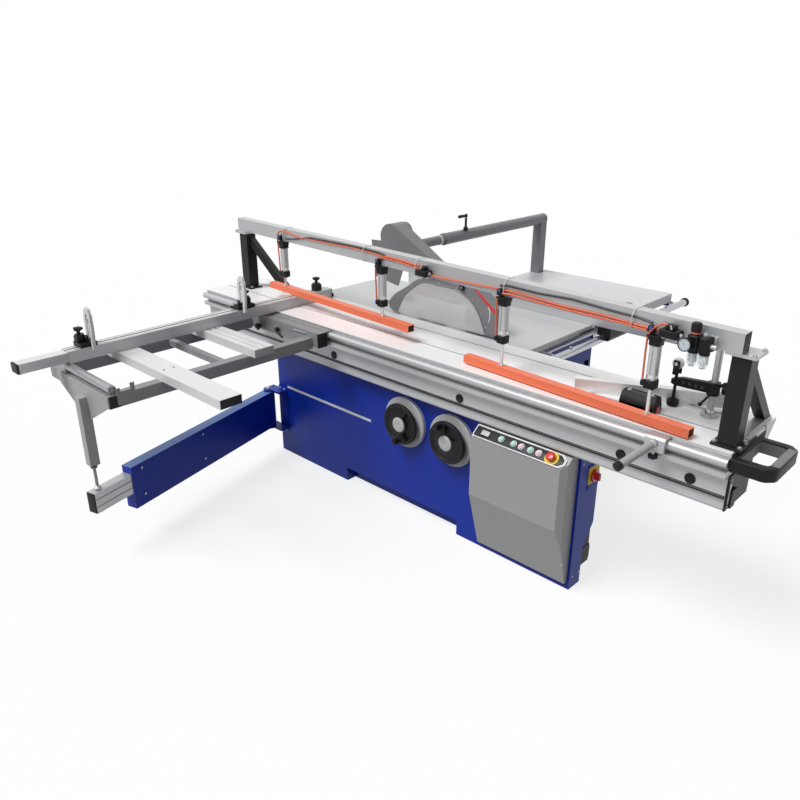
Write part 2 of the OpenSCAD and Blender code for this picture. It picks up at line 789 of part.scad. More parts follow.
module guard_arm() {
    color([0.45, 0.46, 0.48]) {
        difference() {
            rod_y(2 * guard_r, hanger_y + 6, 900, guard_x, guard_z);
            rod_y(2 * guard_r - 8, hanger_y + 20, 901, guard_x, guard_z);
        }
        section_y([[-683, guard_z - 13], [-648, 1023], [-476, 997], [-440, 1090], [guard_x + 50, 1190],
            [guard_x + 50, guard_z + 8]],
            hanger_y, hanger_y + 6);
        rod_y(2 * pivot_r, 52, hanger_y + 1, guard_x, guard_z);
    }
}

module duct(g) {
    translate([elbow[0], 45 - g, elbow[1]]) rotate([90, 0, 0]) cylinder(r = 70 - g, h = 90 - 2 * g,
        $fn = 32);
    block([-150 + g, -25 + g, 1118 - 4 * g], [90 - g, 25 - g, 1121]);
}

module hood() {
    color([0.5, 0.51, 0.53]) difference() {
        union() {
            difference() {
                section_y(hood_outline, -hood_w / 2, hood_w / 2);
                section_y([for (p = hood_outline) [p[0] * 0.985 - 1,
                    905 + (p[1] - 905) * 0.978 - (p[1] < 930 ? 10 : 0)]],
                    hood_t - hood_w / 2, hood_w / 2 - hood_t);
            }
            hull() duct(0);
            rod_y(2 * spigot_r, 40, 45 + spigot_l, spigot_at[0], spigot_at[1]);
            rod_y(40, 40, hanger_y - slide_gap, guard_x, guard_z);
        }
        hull() duct(3);
        rod_y(2 * spigot_r - 6, 30, 46 + spigot_l, spigot_at[0], spigot_at[1]);
        rod_y(2 * (pivot_r + shaft_gap), 50, hanger_y + 1, guard_x, guard_z);
        block([-140, -22, 1095], [80, 22, 1122]);
        section_y(window_outline, -hood_w / 2 - 1, hood_t - hood_w / 2);
        block([blade_x - 205, hood_w / 2 - hood_t - 1, 900], [blade_x + 150, hood_w / 2 + 1, 1004]);
        block([blade_x - 302, hood_w / 2 - hood_t - 1, 900], [blade_x - 204, hood_w / 2 + 1, 952]);
    }
}

module hood_window() {
    color([0.8, 0.85, 0.88, 0.4]) section_y(window_outline, -hood_w / 2, hood_t - hood_w / 2);
}

// Rip fence on its round rail

stud_y = [100, 760, 1380];

module fence_rail() {
    color([0.8, 0.81, 0.83]) {
        rod_y(2 * rail_r, 40, ext_y1 + 60, rail_x, rail_z);
        rod_y(2 * rail_r + 8, ext_y1 + 60, ext_y1 + 72, rail_x, rail_z);
        for (y = stud_y) rod_x(14, ext_x1, rail_x - 4, y, rail_z);
        block([main_x1, main_y0, main_z + 2], [ext_x1, main_y1, main_z + 40]);
        block([ext_x1 - 14, main_y1, main_z - 20], [ext_x1, main_y1 + 40, main_z]);
        for (y = stud_y) block([ext_x1 - 40, y - 20, main_z - 25], [ext_x1, y + 20, main_z]);
    }
}

rip_z0 = table_z + 1;

module rip_fence() {
    color([0.75, 0.76, 0.78]) difference() {
        block([rip_x[0], rip_y, rip_z0], [rip_x[1], rip_y + rip_t, rip_z0 + rip_h]);
        for (z = [rip_z0 + 5, rip_z0 + rip_h / 2 + 3])
            block([-751, rip_y + 5, z], [1151, rip_y + rip_t - 5, z + rip_h / 2 - 8]);
        block([-751, rip_y - 1, rip_z0 + rip_h / 2 - 5], [1151, rip_y + 2, rip_z0 + rip_h / 2 + 5]);
    }
}

module rip_carrier() {
    color([0.15, 0.15, 0.16]) {
        difference() {
            section_y([[rail_x - 28, rail_z + 15], [rail_x - 5, rail_z + 15], [rail_x - 5, rail_z - 8],
                [rail_x + 36, rail_z - 8],
                [rail_x + 46, rail_z + 10], [rail_x + 46, rip_z0], [rail_x - 28, rip_z0]], rip_y - 11,
                    rip_y + 180);
            rod_y(2 * (rail_r + slide_gap), rip_y - 20, rip_y + 190, rail_x, rail_z);
        }
        block([rail_x - 28, rip_y + rip_t, rip_z0 - 1], [rail_x + 46, rip_y + 180, rip_z0 + 50]);
        rod_z(14, rip_z0 + 48, rip_z0 + 70, rail_x + 32, rip_y + 161);
        rod_z(52, rip_z0 + 70, rip_z0 + 98, rail_x + 32, rip_y + 161);
        block([rail_x - 220, rip_y + 170, rip_z0 + 1], [rail_x - 20, rip_y + 180, rip_z0 + 40]);
        rod_z(14, rip_z0 + 38, rip_z0 + 72, rail_x - 203, rip_y + 175);
        rod_z(46, rip_z0 + 72, rip_z0 + 96, rail_x - 203, rip_y + 175);
    }
}

// Swing arm, drawn along X from its hinge and then turned

module on_arm() {
    translate([arm_x, arm_y, 0]) rotate([0, 0, arm_turn]) children();
}

arm_wall = 3;
slider_x0 = 24;
slider_x1 = leg_r + 40;

module swing_arm() {
    color([0.14, 0.22, 0.55]) on_arm() difference() {
        union() {
            rod_z(60, arm_z, arm_z + arm_h, 0, 0);
            difference() {
                block([0, -arm_w / 2, arm_z], [arm_len, arm_w / 2, arm_z + arm_h]);
                block([34, arm_wall - arm_w / 2, arm_z + arm_wall],
                    [arm_len + 1, arm_w / 2 - arm_wall, arm_z + arm_h - arm_wall]);
            }
            for (x = [arm_len - 90, arm_len - 20, 40])
                block([x, 1 - arm_w / 2, arm_z + 1], [x + 20, arm_w / 2 - 1, arm_z + arm_h - 1]);
            for (x = [arm_len - 60, arm_len / 2 + 60], z = [arm_z + 55, arm_z + arm_h - 25])
                translate([x, 0, z]) rotate([90, 0, 0]) cylinder(d = 16, h = arm_w + 8, center = true);
        }
        rod_z(2 * (arm_pin_r + shaft_gap), 0, 800, 0, 0);
        block([slider_x0 - 2, -slider_w / 2 - slide_gap, slider_z - slide_gap],
            [arm_len + 1, slider_w / 2 + slide_gap, slider_z + slider_h + slide_gap]);
    }
}

module arm_slider() {
    color([0.75, 0.76, 0.78]) on_arm() {
        difference() {
            block([slider_x0, -slider_w / 2, slider_z], [slider_x1, slider_w / 2, slider_z + slider_h]);
            block([slider_x0 - 1, 4 - slider_w / 2, slider_z + 4],
                [slider_x1 - 8, slider_w / 2 - 4, slider_z + slider_h - 4]);
        }
        rod_z(20, slider_z - 12, slider_z, leg_r, 0);
    }
}

// Carriage and what is clamped to it

groove_y = [-310, -150];

module carriage() {
    color([0.8, 0.81, 0.83]) difference() {
        union() {
            section_x([[car_y1, table_z], [car_y1, table_z - 12], [car_y1 - 73, car_z],
                [car_y0 - 25, car_z],
                [car_y0 - 25, car_z + 19], [car_y0, car_z + 23], [car_y0, table_z]], car_x0, car_x1);
            block([car_x0, nose_y, nose_z - 8], [car_x1, car_y0 + 1, nose_z + 8]);
            rod_x(2 * nose_r, car_x0, car_x1, nose_y, nose_z);
        }
        for (y = [[car_y0 + 12, -372], [-362, -300], [-290, -224], [-214, -136]])
            block([car_x0 - 1, y[0], car_z + 8], [car_x1 + 1, y[1], table_z - 16]);
        for (y = groove_y) {
            block([car_x0 - 1, y - 5, table_z - 6], [car_x1 + 1, y + 5, table_z + 1]);
            block([car_x0 - 1, y - 9, table_z - 12], [car_x1 + 1, y + 9, table_z - 5]);
        }
    }
}

handle_w = 250;
handle_y = -475;

module push_handle() {
    color([0.1, 0.1, 0.1]) translate([car_x1, handle_y, table_z - 60]) difference() {
        linear_extrude(50) polygon([[0, 0], [112, 0], [148, 36], [148, handle_w - 36], [112, handle_w],
            [0, handle_w]]);
        translate([0, 0, -1]) linear_extrude(52) polygon([[26, 34], [104, 34], [116, 46],
            [116, handle_w - 46],
            [104, handle_w - 34], [26, handle_w - 34]]);
    }
}

post_x = [car_x0 + 145, car_x1 - 34.5];
post_cy = [-239, -395.5];

module beam_posts() {
    color([0.1, 0.1, 0.11]) {
        for (i = [0, 1]) translate([post_x[i], post_cy[i], 0]) {
            block([-post_w / 2, -post_w / 2, table_z], [post_w / 2, post_w / 2, post_z1]);
            block([-51, -51, post_z1], [51, 51, press_z]);
            block([-51, -42, table_z], [51, 42, table_z + 10]);
        }
        translate([post_x[0], post_cy[0], 0]) rotate([0, 0, 20.5])
            section_y([[25, post_z1 - 15], [25, post_z1 - 72], [230, table_z], [288, table_z]], -20, 20);
        section_x([[post_cy[1] + 25, post_z1 - 15], [post_cy[1] + 25, post_z1 - 72],
            [-130, table_z + 15], [-76, table_z + 15]],
            post_x[1] - 20, post_x[1] + 20);
    }
}

module on_beam() {
    translate([0, press_y, 0]) rotate([0, 0, press_turn]) children();
}

module pressure_beam() {
    color([0.72, 0.73, 0.75]) on_beam() difference() {
        block([press_x0, -press_w / 2, press_z], [press_x1, press_w / 2, press_z + press_h]);
        block([press_x0 - 1, 3 - press_w / 2, press_z + 3],
            [press_x1 + 1, press_w / 2 - 3, press_z + press_h - 3]);
    }
}

module cylinder_shells() {
    for (x = air_x) {
        block([x - 36, air_y - 33, press_z - 8], [x + 36, press_w / 2, press_z]);
        block([x - 28, air_y - 28, air_z1], [x + 28, air_y + 28, press_z - 7]);
        rod_z(2 * air_r, air_z0 - 1, air_z1 + 1, x, air_y);
        block([x - 28, air_y - 28, cap_z], [x + 28, air_y + 28, air_z0]);
    }
}

module air_cylinders() {
    color([0.78, 0.79, 0.8]) on_beam() difference() {
        cylinder_shells();
        for (x = air_x) {
            rod_z(2 * air_r - 8, air_z0, air_z1, x, air_y);
            rod_z(2 * (rod_r + shaft_gap), cap_z - 1, air_z0 + 1, x, air_y);
        }
    }
}

// Rectangular pressure bar with its two piston rods
module pressure_bar(z, xs, rods) {
    on_beam() {
        difference() {
            block([xs[0], air_y - bar_w / 2, z], [xs[1], air_y + bar_w / 2, z + bar_h]);
            block([xs[0] - 1, air_y + 2 - bar_w / 2, z + 2],
                [xs[1] + 1, air_y - 2 + bar_w / 2, z + bar_h - 2]);
        }
        for (x = rods) {
            rod_z(2 * rod_r, z + bar_h - 1, air_z0 + 12, x, air_y);
            rod_z(2 * (air_r - 4) - 0.2, air_z0 + 6, air_z0 + 18, x, air_y);
            rod_z(24, z + bar_h, z + bar_h + 5, x, air_y);
        }
    }
}

valve_x = [172, 1366];
filter_x = [1457, 1496];
gauge_x = 1446;

// Valves, filter, regulator and gauge on the front of the pressure beam
module air_fittings() {
    for (x = valve_x) {
        block([x - 34, press_face - 44, press_z + 8], [x + 34, press_face, press_z + 36]);
        block([x - 16, press_face - 36, press_z + 35], [x + 16, press_face - 8, press_z + 52]);
        rod_between([x, press_face - 30, press_z + 46], [x + 22, press_face - 66, press_z + 52], 9);
        for (s = [-1, 1]) rod_z(16, press_z + 1, press_z + 9, x + s * 24, press_face - 22);
    }
    block([1428, press_face - 14, press_z + 2], [1520, press_face, press_z + 40]);
    for (x = filter_x) {
        block([x - 18, press_face - 52, press_z - 8], [x + 18, press_face - 13, press_z + 44]);
        rod_z(34, press_z - 58, press_z - 7, x, press_face - 33);
        rod_z(20, press_z - 66, press_z - 57, x, press_face - 33);
    }
    rod_z(34, press_z + 43, press_z + 84, filter_x[0], press_face - 33);
    rod_z(22, press_z + 43, press_z + 60, filter_x[1], press_face - 33);
    rod_y(12, press_face - 64, press_face - 50, gauge_x, press_z + 15);
    rod_y(46, press_face - 82, press_face - 62, gauge_x, press_z + 15);
    rod_x(18, 1513, 1534, press_face - 33, press_z + 14);
    for (x = air_x) {
        block([x - 38, press_face - 20, press_z + 4], [x - 14, press_face, press_z + 30]);
        rod_z(14, cap_z + 8, cap_z + 30, x - 36, air_y - 14);
        block([x - 40, air_y - 20, cap_z + 8], [x - 28, air_y - 8, cap_z + 20]);
    }
}

module air_unit() {
    color([0.12, 0.12, 0.13]) on_beam() air_fittings();
}

// Air hoses, laid by hand-chosen points in the beam's own frame

hose_y = press_face - hose_r - slide_gap;
hose_sides = 8;
port_z = cap_z + 30;
hose_routes = [
    [[-991, -39, port_z], [-991, -40, 1110], [-992, -42, 1180], [-996, -44, 1240], [-990, -40, 1280],
        [-965, -33, 1297],
        [-930, hose_y, 1294], [-800, hose_y, 1280], [-560, hose_y, 1284], [-330, hose_y, 1292],
            [-150, hose_y, 1288],
        [0, hose_y, 1287], [80, hose_y, 1282], [128, hose_y, 1282], [156, hose_y, 1282]],
    [[-169, -39, port_z], [-170, -40, 1130], [-172, -42, 1200], [-168, -40, 1255], [-150, -36, 1278],
        [-120, hose_y, 1279],
        [0, hose_y, 1277], [90, hose_y, 1270], [138, hose_y, 1269]],
    [[206, hose_y - 3, 1253], [260, hose_y - 3, 1252], [400, hose_y, 1256], [540, hose_y, 1262],
        [700, hose_y, 1268],
        [900, hose_y, 1258], [1100, hose_y, 1262], [1240, hose_y, 1256], [1332, hose_y, 1255]],
    [[589, -39, port_z], [588, -41, 1120], [588, -43, 1190], [594, -43, 1230], [612, -40, 1252],
        [650, hose_y, 1253],
        [800, hose_y, 1250], [1000, hose_y, 1248], [1180, hose_y, 1250], [1240, hose_y, 1246],
            [1270, -34, 1248]],
    [[1272, -39, port_z], [1271, -40, 1120], [1271, -42, 1190], [1276, -44, 1238], [1296, -42, 1262],
        [1325, -36, 1284],
        [1350, -36, 1283]],
    [[-929, hose_y, 1256], [-860, hose_y, 1262], [-700, hose_y, 1292], [-560, hose_y, 1296],
        [-300, hose_y, 1301],
        [-160, hose_y, 1298], [-110, hose_y, 1291]],
    [[600, hose_y, 1280], [640, hose_y, 1286], [800, hose_y, 1284], [950, hose_y, 1292],
        [1130, hose_y, 1284],
        [1230, hose_y, 1283], [1285, hose_y, 1276]]
];

function cross_unit(a, b) = cross(a, b) / norm(cross(a, b));
function route_dir(p, i) = let (n = len(p) - 1, v = p[min(i + 1, n)] - p[max(i - 1, 0)]) v / norm(v);
function ring(c, d, r, n) = let (u = cross_unit(d, [0, 1, 0.001]), w = cross(u, d))
    [for (k = [0:n - 1]) c + r * (cos(k * 360 / n) * u + sin(k * 360 / n) * w)];

module hose(p, r, n) {
    last = len(p) - 1;
    points = [for (i = [0:last]) each ring(p[i], route_dir(p, i), r, n)];
    sides = [for (i = [0:last - 1], k = [0:n - 1]) let (a = i * n + k, b = i * n + (k + 1) % n) [a, b,
        b + n, a + n]];
    caps = [[for (k = [0:n - 1]) n - 1 - k], [for (k = [0:n - 1]) last * n + k]];
    polyhedron(points, concat([for (f = sides) [f[0], f[1], f[2]]],
        [for (f = sides) [f[0], f[2], f[3]]], caps));
}

module air_hoses() {
    color([0.95, 0.4, 0.25]) on_beam() difference() {
        for (p = hose_routes) hose(p, hose_r, hose_sides);
        air_fittings();
        cylinder_shells();
    }
}

// Outrigger table

outer_y1 = out_y0 + out_w;

module outrigger() {
    color([0.62, 0.63, 0.64]) {
        block([out_x0, inner_y0, car_z], [out_x1 + 50, inner_y1, table_z - 10]);
        block([out_x0, inner_y1 - 1, table_z - 14 + slide_gap],
            [out_x1 + 50, inner_y1 + 28, table_z - 7]);
        for (x = [out_x0, out_x1 - out_w]) block([x, outer_y1, out_z0], [x + out_w, inner_y0, out_z1]);
        block([out_x0, out_y0, out_z0], [out_x1, outer_y1, out_z1]);
        block([out_x0 - 20, -1382, out_z1], [10, -1280, table_z]);
        difference() {
            block([out_x0, -930, out_z1], [out_x1 + 45, -820, table_z]);
            for (y = [-898, -862]) block([out_x0 - 1, y - 5, table_z - 12],
                [out_x1 + 46, y + 5, table_z + 1]);
        }
        block([out_x0 + out_w, -1055, out_z0 + 20], [out_x1 - out_w, -1025, out_z0 + 50]);
        section_x([[-1590, 815], [-1510, 815], [-1510, 898], [-1528, 898], [-1528, 872], [-1574, 872],
            [-1574, 888], [-1590, 888]],
            out_x1, out_x1 + 6);
        for (x = [roller_x0 - 6.3, roller_x1 + 0.3]) difference() {
            block([x, -1612, out_z1], [x + 6, -1584, table_z - 7]);
            rod_x(10 + 2 * shaft_gap, x - 1, x + 7, roller_y, roller_z);
        }
    }
}

roller_y = -1598;
roller_z = table_z - 0.3 - roller_r;

module outrigger_roller() {
    color([0.8, 0.81, 0.83]) {
        rod_x(2 * roller_r, roller_x0, roller_x1, roller_y, roller_z);
        rod_x(10, roller_x0 - 7, roller_x1 + 7, roller_y, roller_z);
    }
}

module support_leg() {
    color([0.55, 0.56, 0.57]) {
        section_y([[out_x0 + 90, out_z1 - 2], [out_x1, out_z1 - 2], [out_x1, out_z0 + 8],
            [leg_x + 24, 700], [leg_x + 24, 640],
            [leg_x - 24, 640], [leg_x - 24, 700], [out_x0 + 90, out_z0 + 8]], out_y0 - 6, out_y0);
        block([leg_x - 22, leg_y - 22, 480], [leg_x + 22, leg_y + 22, out_z0]);
        rod_z(14, leg_z, 481, leg_x, leg_y);
        rod_z(28, 462, 480, leg_x, leg_y);
    }
}

// Crosscut fence, its extension and its flip stops

module crosscut_fence() {
    color([0.68, 0.69, 0.7]) difference() {
        union() {
            block([cross_x - cross_w, cross_y0, cross_z0], [cross_x, -75, cross_z1]);
            block([cross_x - cross_w + 8, -76, cross_z0 + 4], [cross_x - 8, -60, cross_z1 - 4]);
        }
        block([cross_x - cross_w + cross_t, cross_y0 - 1, cross_z0 + cross_t],
            [cross_x - cross_t, -80, cross_z1 - cross_t]);
        rod_z(16 + 2 * shaft_gap, cross_z0 - 1, cross_z1 + 1, cross_mid, pivot_y);
        block([cross_mid - 6, cross_y0 - 1, cross_z1 - 3], [cross_mid + 6, pivot_y - 12, cross_z1 + 1]);
    }
}

ext_end = -1800;

module fence_extension() {
    color([0.68, 0.69, 0.7]) {
        translate([cross_mid - tongue_w / 2, ext_end, cross_z0 + cross_t + slide_gap]) cube([tongue_w,
            1380, tongue_h]);
        block([cross_mid - tongue_w / 2 - 1, ext_end - 12, cross_z0 + cross_t - 1],
            [cross_mid + tongue_w / 2 + 1, ext_end, cross_z1 - cross_t + 1]);
    }
}

stop_y = [-1490, -680];
knob_dy = [-29, 54];
flap_z = cross_z1 + 42;

module stop_block(y, dy) {
    y0 = min(y - 25, y + dy - 22);
    y1 = max(y + 25, y + dy + 22);
    block([cross_mid - 41, y0, cross_z1 + slide_gap], [cross_mid + 34, y1, cross_z1 + 20]);
    block([cross_mid - 41, y0, cross_z1 - 20], [cross_x - cross_w - slide_gap, y1, cross_z1 + 1]);
    rod_z(12, cross_z1 + 19, cross_z1 + 32, cross_mid - 14, y + dy);
    rod_z(40, cross_z1 + 28, cross_z1 + 54, cross_mid - 14, y + dy);
    for (s = [-1, 1]) difference() {
        block([cross_mid + 6, y + s * 11 - 4, cross_z1 + 19],
            [cross_mid + 26, y + s * 11 + 4, flap_z + 8]);
    }
    rod_y(8, y - 12, y + 12, cross_mid + 16, flap_z);
}

module stop_flap(y) {
    difference() {
        union() {
            translate([cross_mid + 16, 0, flap_z]) section_y([[-8, 0], [-12, 80], [0, 122], [18, 138],
                [38, 130], [50, 104],
                [52, 40], [42, -54], [24, -54], [32, 30], [34, 92], [22, 112], [8, 100], [8, 0]],
                    y - 6.5, y + 6.5);
            rod_y(20, y - 6.5, y + 6.5, cross_mid + 16, flap_z);
        }
        rod_y(8 + 2 * shaft_gap, y - 20, y + 20, cross_mid + 16, flap_z);
    }
}

column_x = 1441;
column_y = -205;
column_r = 12.5;
mitre_a = [948, -339];
mitre_turn = 25.5;
mitre_l = 624;

// Fittings clamped on the carriage: mitre fence, column, edging shoe, foot bar and pivot pin
module carriage_fittings() {
    color([0.8, 0.8, 0.78]) {
        translate([mitre_a[0], mitre_a[1], 0]) rotate([0, 0, mitre_turn]) {
            difference() {
                block([0, 0, table_z], [mitre_l, 34, table_z + 54]);
                block([-1, 4, table_z + 4], [mitre_l + 1, 30, table_z + 26]);
                block([-1, 4, table_z + 29], [mitre_l + 1, 30, table_z + 50]);
            }
            rod_z(30, table_z + 54, table_z + 84, mitre_l - 62, 17);
        }
        rod_z(2 * column_r, table_z, 1172, column_x, column_y);
        rod_z(64, table_z, table_z + 12, column_x, column_y);
        section_x([[-349, table_z], [-276, table_z], [-276, table_z + 22], [-292, table_z + 60],
            [-333, table_z + 60],
            [-349, table_z + 22]], 1149, 1287);
        block([post_x[1] - 16, -353, table_z], [post_x[1] + 24, -72, table_z + 15]);
        rod_z(16, table_z, cross_z1 + 3, cross_mid, pivot_y);
        rod_z(44, cross_z1 + slide_gap, cross_z1 + 42, cross_mid, pivot_y);
    }
}

hold_z = 1000;

module hold_down_arm() {
    color([0.12, 0.12, 0.13]) difference() {
        union() {
            rod_z(46, hold_z - 14, hold_z + 34, column_x, column_y);
            section_y([[column_x - 158, hold_z + 10], [column_x - 158, hold_z - 8],
                [column_x - 140, hold_z - 14],
                [column_x - 20, hold_z - 10], [column_x - 20, hold_z + 30],
                    [column_x - 120, hold_z + 22]],
                column_y - 10, column_y + 10);
            rod_z(12, table_z + 14, hold_z + 30, column_x - 144, column_y);
            rod_z(46, table_z + 10, table_z + 24, column_x - 144, column_y);
            rod_z(38, table_z + 3, table_z + 11, column_x - 144, column_y);
            rod_between([column_x + 15, column_y, hold_z + 20],
                [column_x + 70, column_y - 12, hold_z + 58], 12);
        }
        rod_z(2 * (column_r + shaft_gap), 900, 1200, column_x, column_y);
        for (x = [40, 64, 88, 112]) rod_y(11, column_y - 12, column_y + 12, column_x - x, hold_z + 5);
    }
}

grip_x = car_x1 - 248;

module grab_handle() {
    color([0.12, 0.12, 0.13]) {
        section_x([[nose_front - 17, nose_z - 29], [nose_front - slide_gap, nose_z - 29],
            [nose_front - slide_gap, nose_z + nose_r + slide_gap],
                [car_y0 - 3, nose_z + nose_r + slide_gap],
            [car_y0 - 3, table_z - 3], [nose_front - 17, table_z - 3]], grip_x - 38, grip_x + 38);
        rod_between([grip_x, nose_front - 10, nose_z + 8], [grip_x - 43, -668, nose_z - 39], 30);
        rod_between([grip_x - 42, -664, nose_z - 38], [grip_x - 46, -682, nose_z - 43], 34);
        rod_z(14, nose_z - 42, nose_z - 28, grip_x, nose_front - 14);
        rod_z(38, nose_z - 58, nose_z - 41, grip_x, nose_front - 14);
    }
}

cabinet();
rear_door();
main_table();
table_insert();
extension_table();
base_beam();
plastic_trim();
control_box();
control_panel();
color([0.2, 0.6, 0.3]) push_button(button_x[0]);  // button_1
color([0.2, 0.6, 0.3]) push_button(button_x[1]);  // button_2
color([0.85, 0.3, 0.35]) push_button(button_x[2]);  // button_3
color([0.2, 0.6, 0.3]) push_button(button_x[3]);  // button_4
color([0.85, 0.3, 0.35]) push_button(button_x[4]);  // button_5
estop_button();
main_switch();
wheel_collars();
rise_wheel();
tilt_wheel();
trunnion_segments();
saw_frame();
lift_unit();
motor();
drive_belt();
arbor();
main_blade();
motor_pulley();
riving_knife();
scoring_unit();
scoring_spindle();
guard_post();
guard_arm();
hood();
hood_window();
fence_rail();
rip_fence();
rip_carrier();
swing_arm();
arm_slider();
carriage();
push_handle();
beam_posts();
pressure_beam();
air_cylinders();
air_unit();
air_hoses();
color([0.95, 0.45, 0.3]) pressure_bar(bar_z[0], bar_x[0], [air_x[0], air_x[1]]);  // bar_left
color([0.95, 0.45, 0.3]) pressure_bar(bar_z[1], bar_x[1], [air_x[2], air_x[3]]);  // bar_right
outrigger();
support_leg();
outrigger_roller();
crosscut_fence();
fence_extension();
color([0.15, 0.15, 0.15]) stop_block(stop_y[0],  // stop_block_outer
    knob_dy[0]);
color([0.85, 0.85, 0.84]) stop_flap(stop_y[0]);  // stop_flap_outer
color([0.15, 0.15, 0.15]) stop_block(stop_y[1],  // stop_block_inner
    knob_dy[1]);
color([0.85, 0.85, 0.84]) stop_flap(stop_y[1]);  // stop_flap_inner
carriage_fittings();
hold_down_arm();
grab_handle();
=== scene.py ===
import bpy
import bmesh
import math
from mathutils import Matrix, Vector


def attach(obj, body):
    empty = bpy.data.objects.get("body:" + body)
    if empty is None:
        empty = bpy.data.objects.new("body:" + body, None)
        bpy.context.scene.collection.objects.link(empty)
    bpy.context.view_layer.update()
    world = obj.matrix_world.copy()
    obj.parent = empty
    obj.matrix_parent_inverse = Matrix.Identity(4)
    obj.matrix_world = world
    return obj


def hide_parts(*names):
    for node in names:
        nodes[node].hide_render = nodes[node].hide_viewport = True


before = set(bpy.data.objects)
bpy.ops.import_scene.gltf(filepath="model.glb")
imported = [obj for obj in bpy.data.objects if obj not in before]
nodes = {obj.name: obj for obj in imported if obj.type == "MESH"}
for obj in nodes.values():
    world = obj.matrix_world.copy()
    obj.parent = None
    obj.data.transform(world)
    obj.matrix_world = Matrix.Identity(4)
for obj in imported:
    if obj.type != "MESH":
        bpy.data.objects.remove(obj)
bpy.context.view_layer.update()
print("frame loaded,", len(nodes), "nodes")

unit = 0.001  # pieces and zones are given in millimetres


def addObject(name, data):
    made = bpy.data.objects.new(name, data)
    bpy.context.scene.collection.objects.link(made)
    return made


camera = {"place": (2.3768, -2.8340, 2.0368), "turn": 43.854, "down": 22.861, "lens": 33.78, "sensor": 36, "far": 60}

cameraData = bpy.data.cameras.new("photoCamera")
cameraData.lens = camera["lens"]
cameraData.sensor_width = camera["sensor"]
cameraData.clip_end = camera["far"]
cameraObject = addObject("photoCamera", cameraData)
cameraObject.location = camera["place"]
cameraObject.rotation_euler = (math.radians(90 - camera["down"]), 0, math.radians(camera["turn"]))
bpy.context.scene.camera = cameraObject
bpy.context.scene.view_settings.view_transform = "Standard"
print("camera set")


# a colour as it reads on screen, 0 to 255, turned into the linear value that shaders take
def shade(tone):
    parts = [part / 255 for part in (tone if isinstance(tone, tuple) else (tone, tone, tone))]
    return (*(part / 12.92 if part <= 0.04045 else ((part + 0.055) / 1.055) ** 2.4 for part in parts), 1.0)


def joinUp(tree, *pairs):
    for start, end in pairs:
        tree.links.new(start, end)


# a value is set on its socket, another socket is linked to it
def feed(tree, *pairs):
    for socket, value in pairs:
        if isinstance(value, (int, float, tuple)):
            socket.default_value = value
        elif value is not None:
            tree.links.new(value, socket)


def fill(tree, node, sockets):
    feed(tree, *((node.inputs[name], value) for name, value in sockets.items()))


def addNode(tree, kind, sockets=None, **settings):
    node = tree.nodes.new(kind)
    for name, value in settings.items():
        setattr(node, name, value)
    fill(tree, node, sockets or {})
    return node


def mathNode(tree, operation, first, second=None, clamp=False):
    node = addNode(tree, "ShaderNodeMath", operation=operation, use_clamp=clamp)
    feed(tree, *zip(node.inputs, (first, second)))
    return node.outputs[0]


def mixColour(tree, factor, first, second, blend="MIX"):
    node = addNode(tree, "ShaderNodeMix", data_type="RGBA", blend_type=blend)
    feed(tree, (node.inputs[0], factor), (node.inputs[6], first), (node.inputs[7], second))
    return node.outputs[2]


def mixValue(tree, factor, first, second):
    node = addNode(tree, "ShaderNodeMix", data_type="FLOAT")
    feed(tree, (node.inputs[0], factor), (node.inputs[2], first), (node.inputs[3], second))
    return node.outputs[0]


def newGroup(name, takes, gives):
    tree = bpy.data.node_groups.new(name, "ShaderNodeTree")
    for label, kind, value in takes:
        socket = tree.interface.new_socket(label, in_out="INPUT", socket_type=kind)
        socket.default_value = value
    for label in gives:
        tree.interface.new_socket(label, in_out="OUTPUT", socket_type="NodeSocketFloat")
    return tree, addNode(tree, "NodeGroupInput"), addNode(tree, "NodeGroupOutput")


# long fine scratches that run along the longest of the three stretches
grainTree, takes, gives = newGroup("brushedGrain", [("Stretch", "NodeSocketVector", (2, 300, 300))], ["Grain"])
place = addNode(grainTree, "ShaderNodeTexCoord")
drawn = addNode(grainTree, "ShaderNodeVectorMath", operation="MULTIPLY")
noise = addNode(grainTree, "ShaderNodeTexNoise", {"Scale": 1, "Detail": 3})
joinUp(grainTree, (place.outputs["Object"], drawn.inputs[0]), (takes.outputs[0], drawn.inputs[1]),
    (drawn.outputs[0], noise.inputs["Vector"]), (noise.outputs["Fac"], gives.inputs[0]))

# orange peel in sprayed paint, and the slow change of tone over a panel
peelTree, takes, gives = newGroup("paintPeel", [("Fineness", "NodeSocketFloat", 900)], ["Peel", "Mottle"])
place = addNode(peelTree, "ShaderNodeTexCoord")
peelNoise = addNode(peelTree, "ShaderNodeTexNoise", {"Detail": 2})
mottleNoise = addNode(peelTree, "ShaderNodeTexNoise", {"Scale": 3.2, "Detail": 4})
joinUp(peelTree, (place.outputs["Object"], peelNoise.inputs["Vector"]), (takes.outputs[0], peelNoise.inputs["Scale"]),
    (place.outputs["Object"], mottleNoise.inputs["Vector"]), (peelNoise.outputs["Fac"], gives.inputs[0]),
    (mottleNoise.outputs["Fac"], gives.inputs[1]))

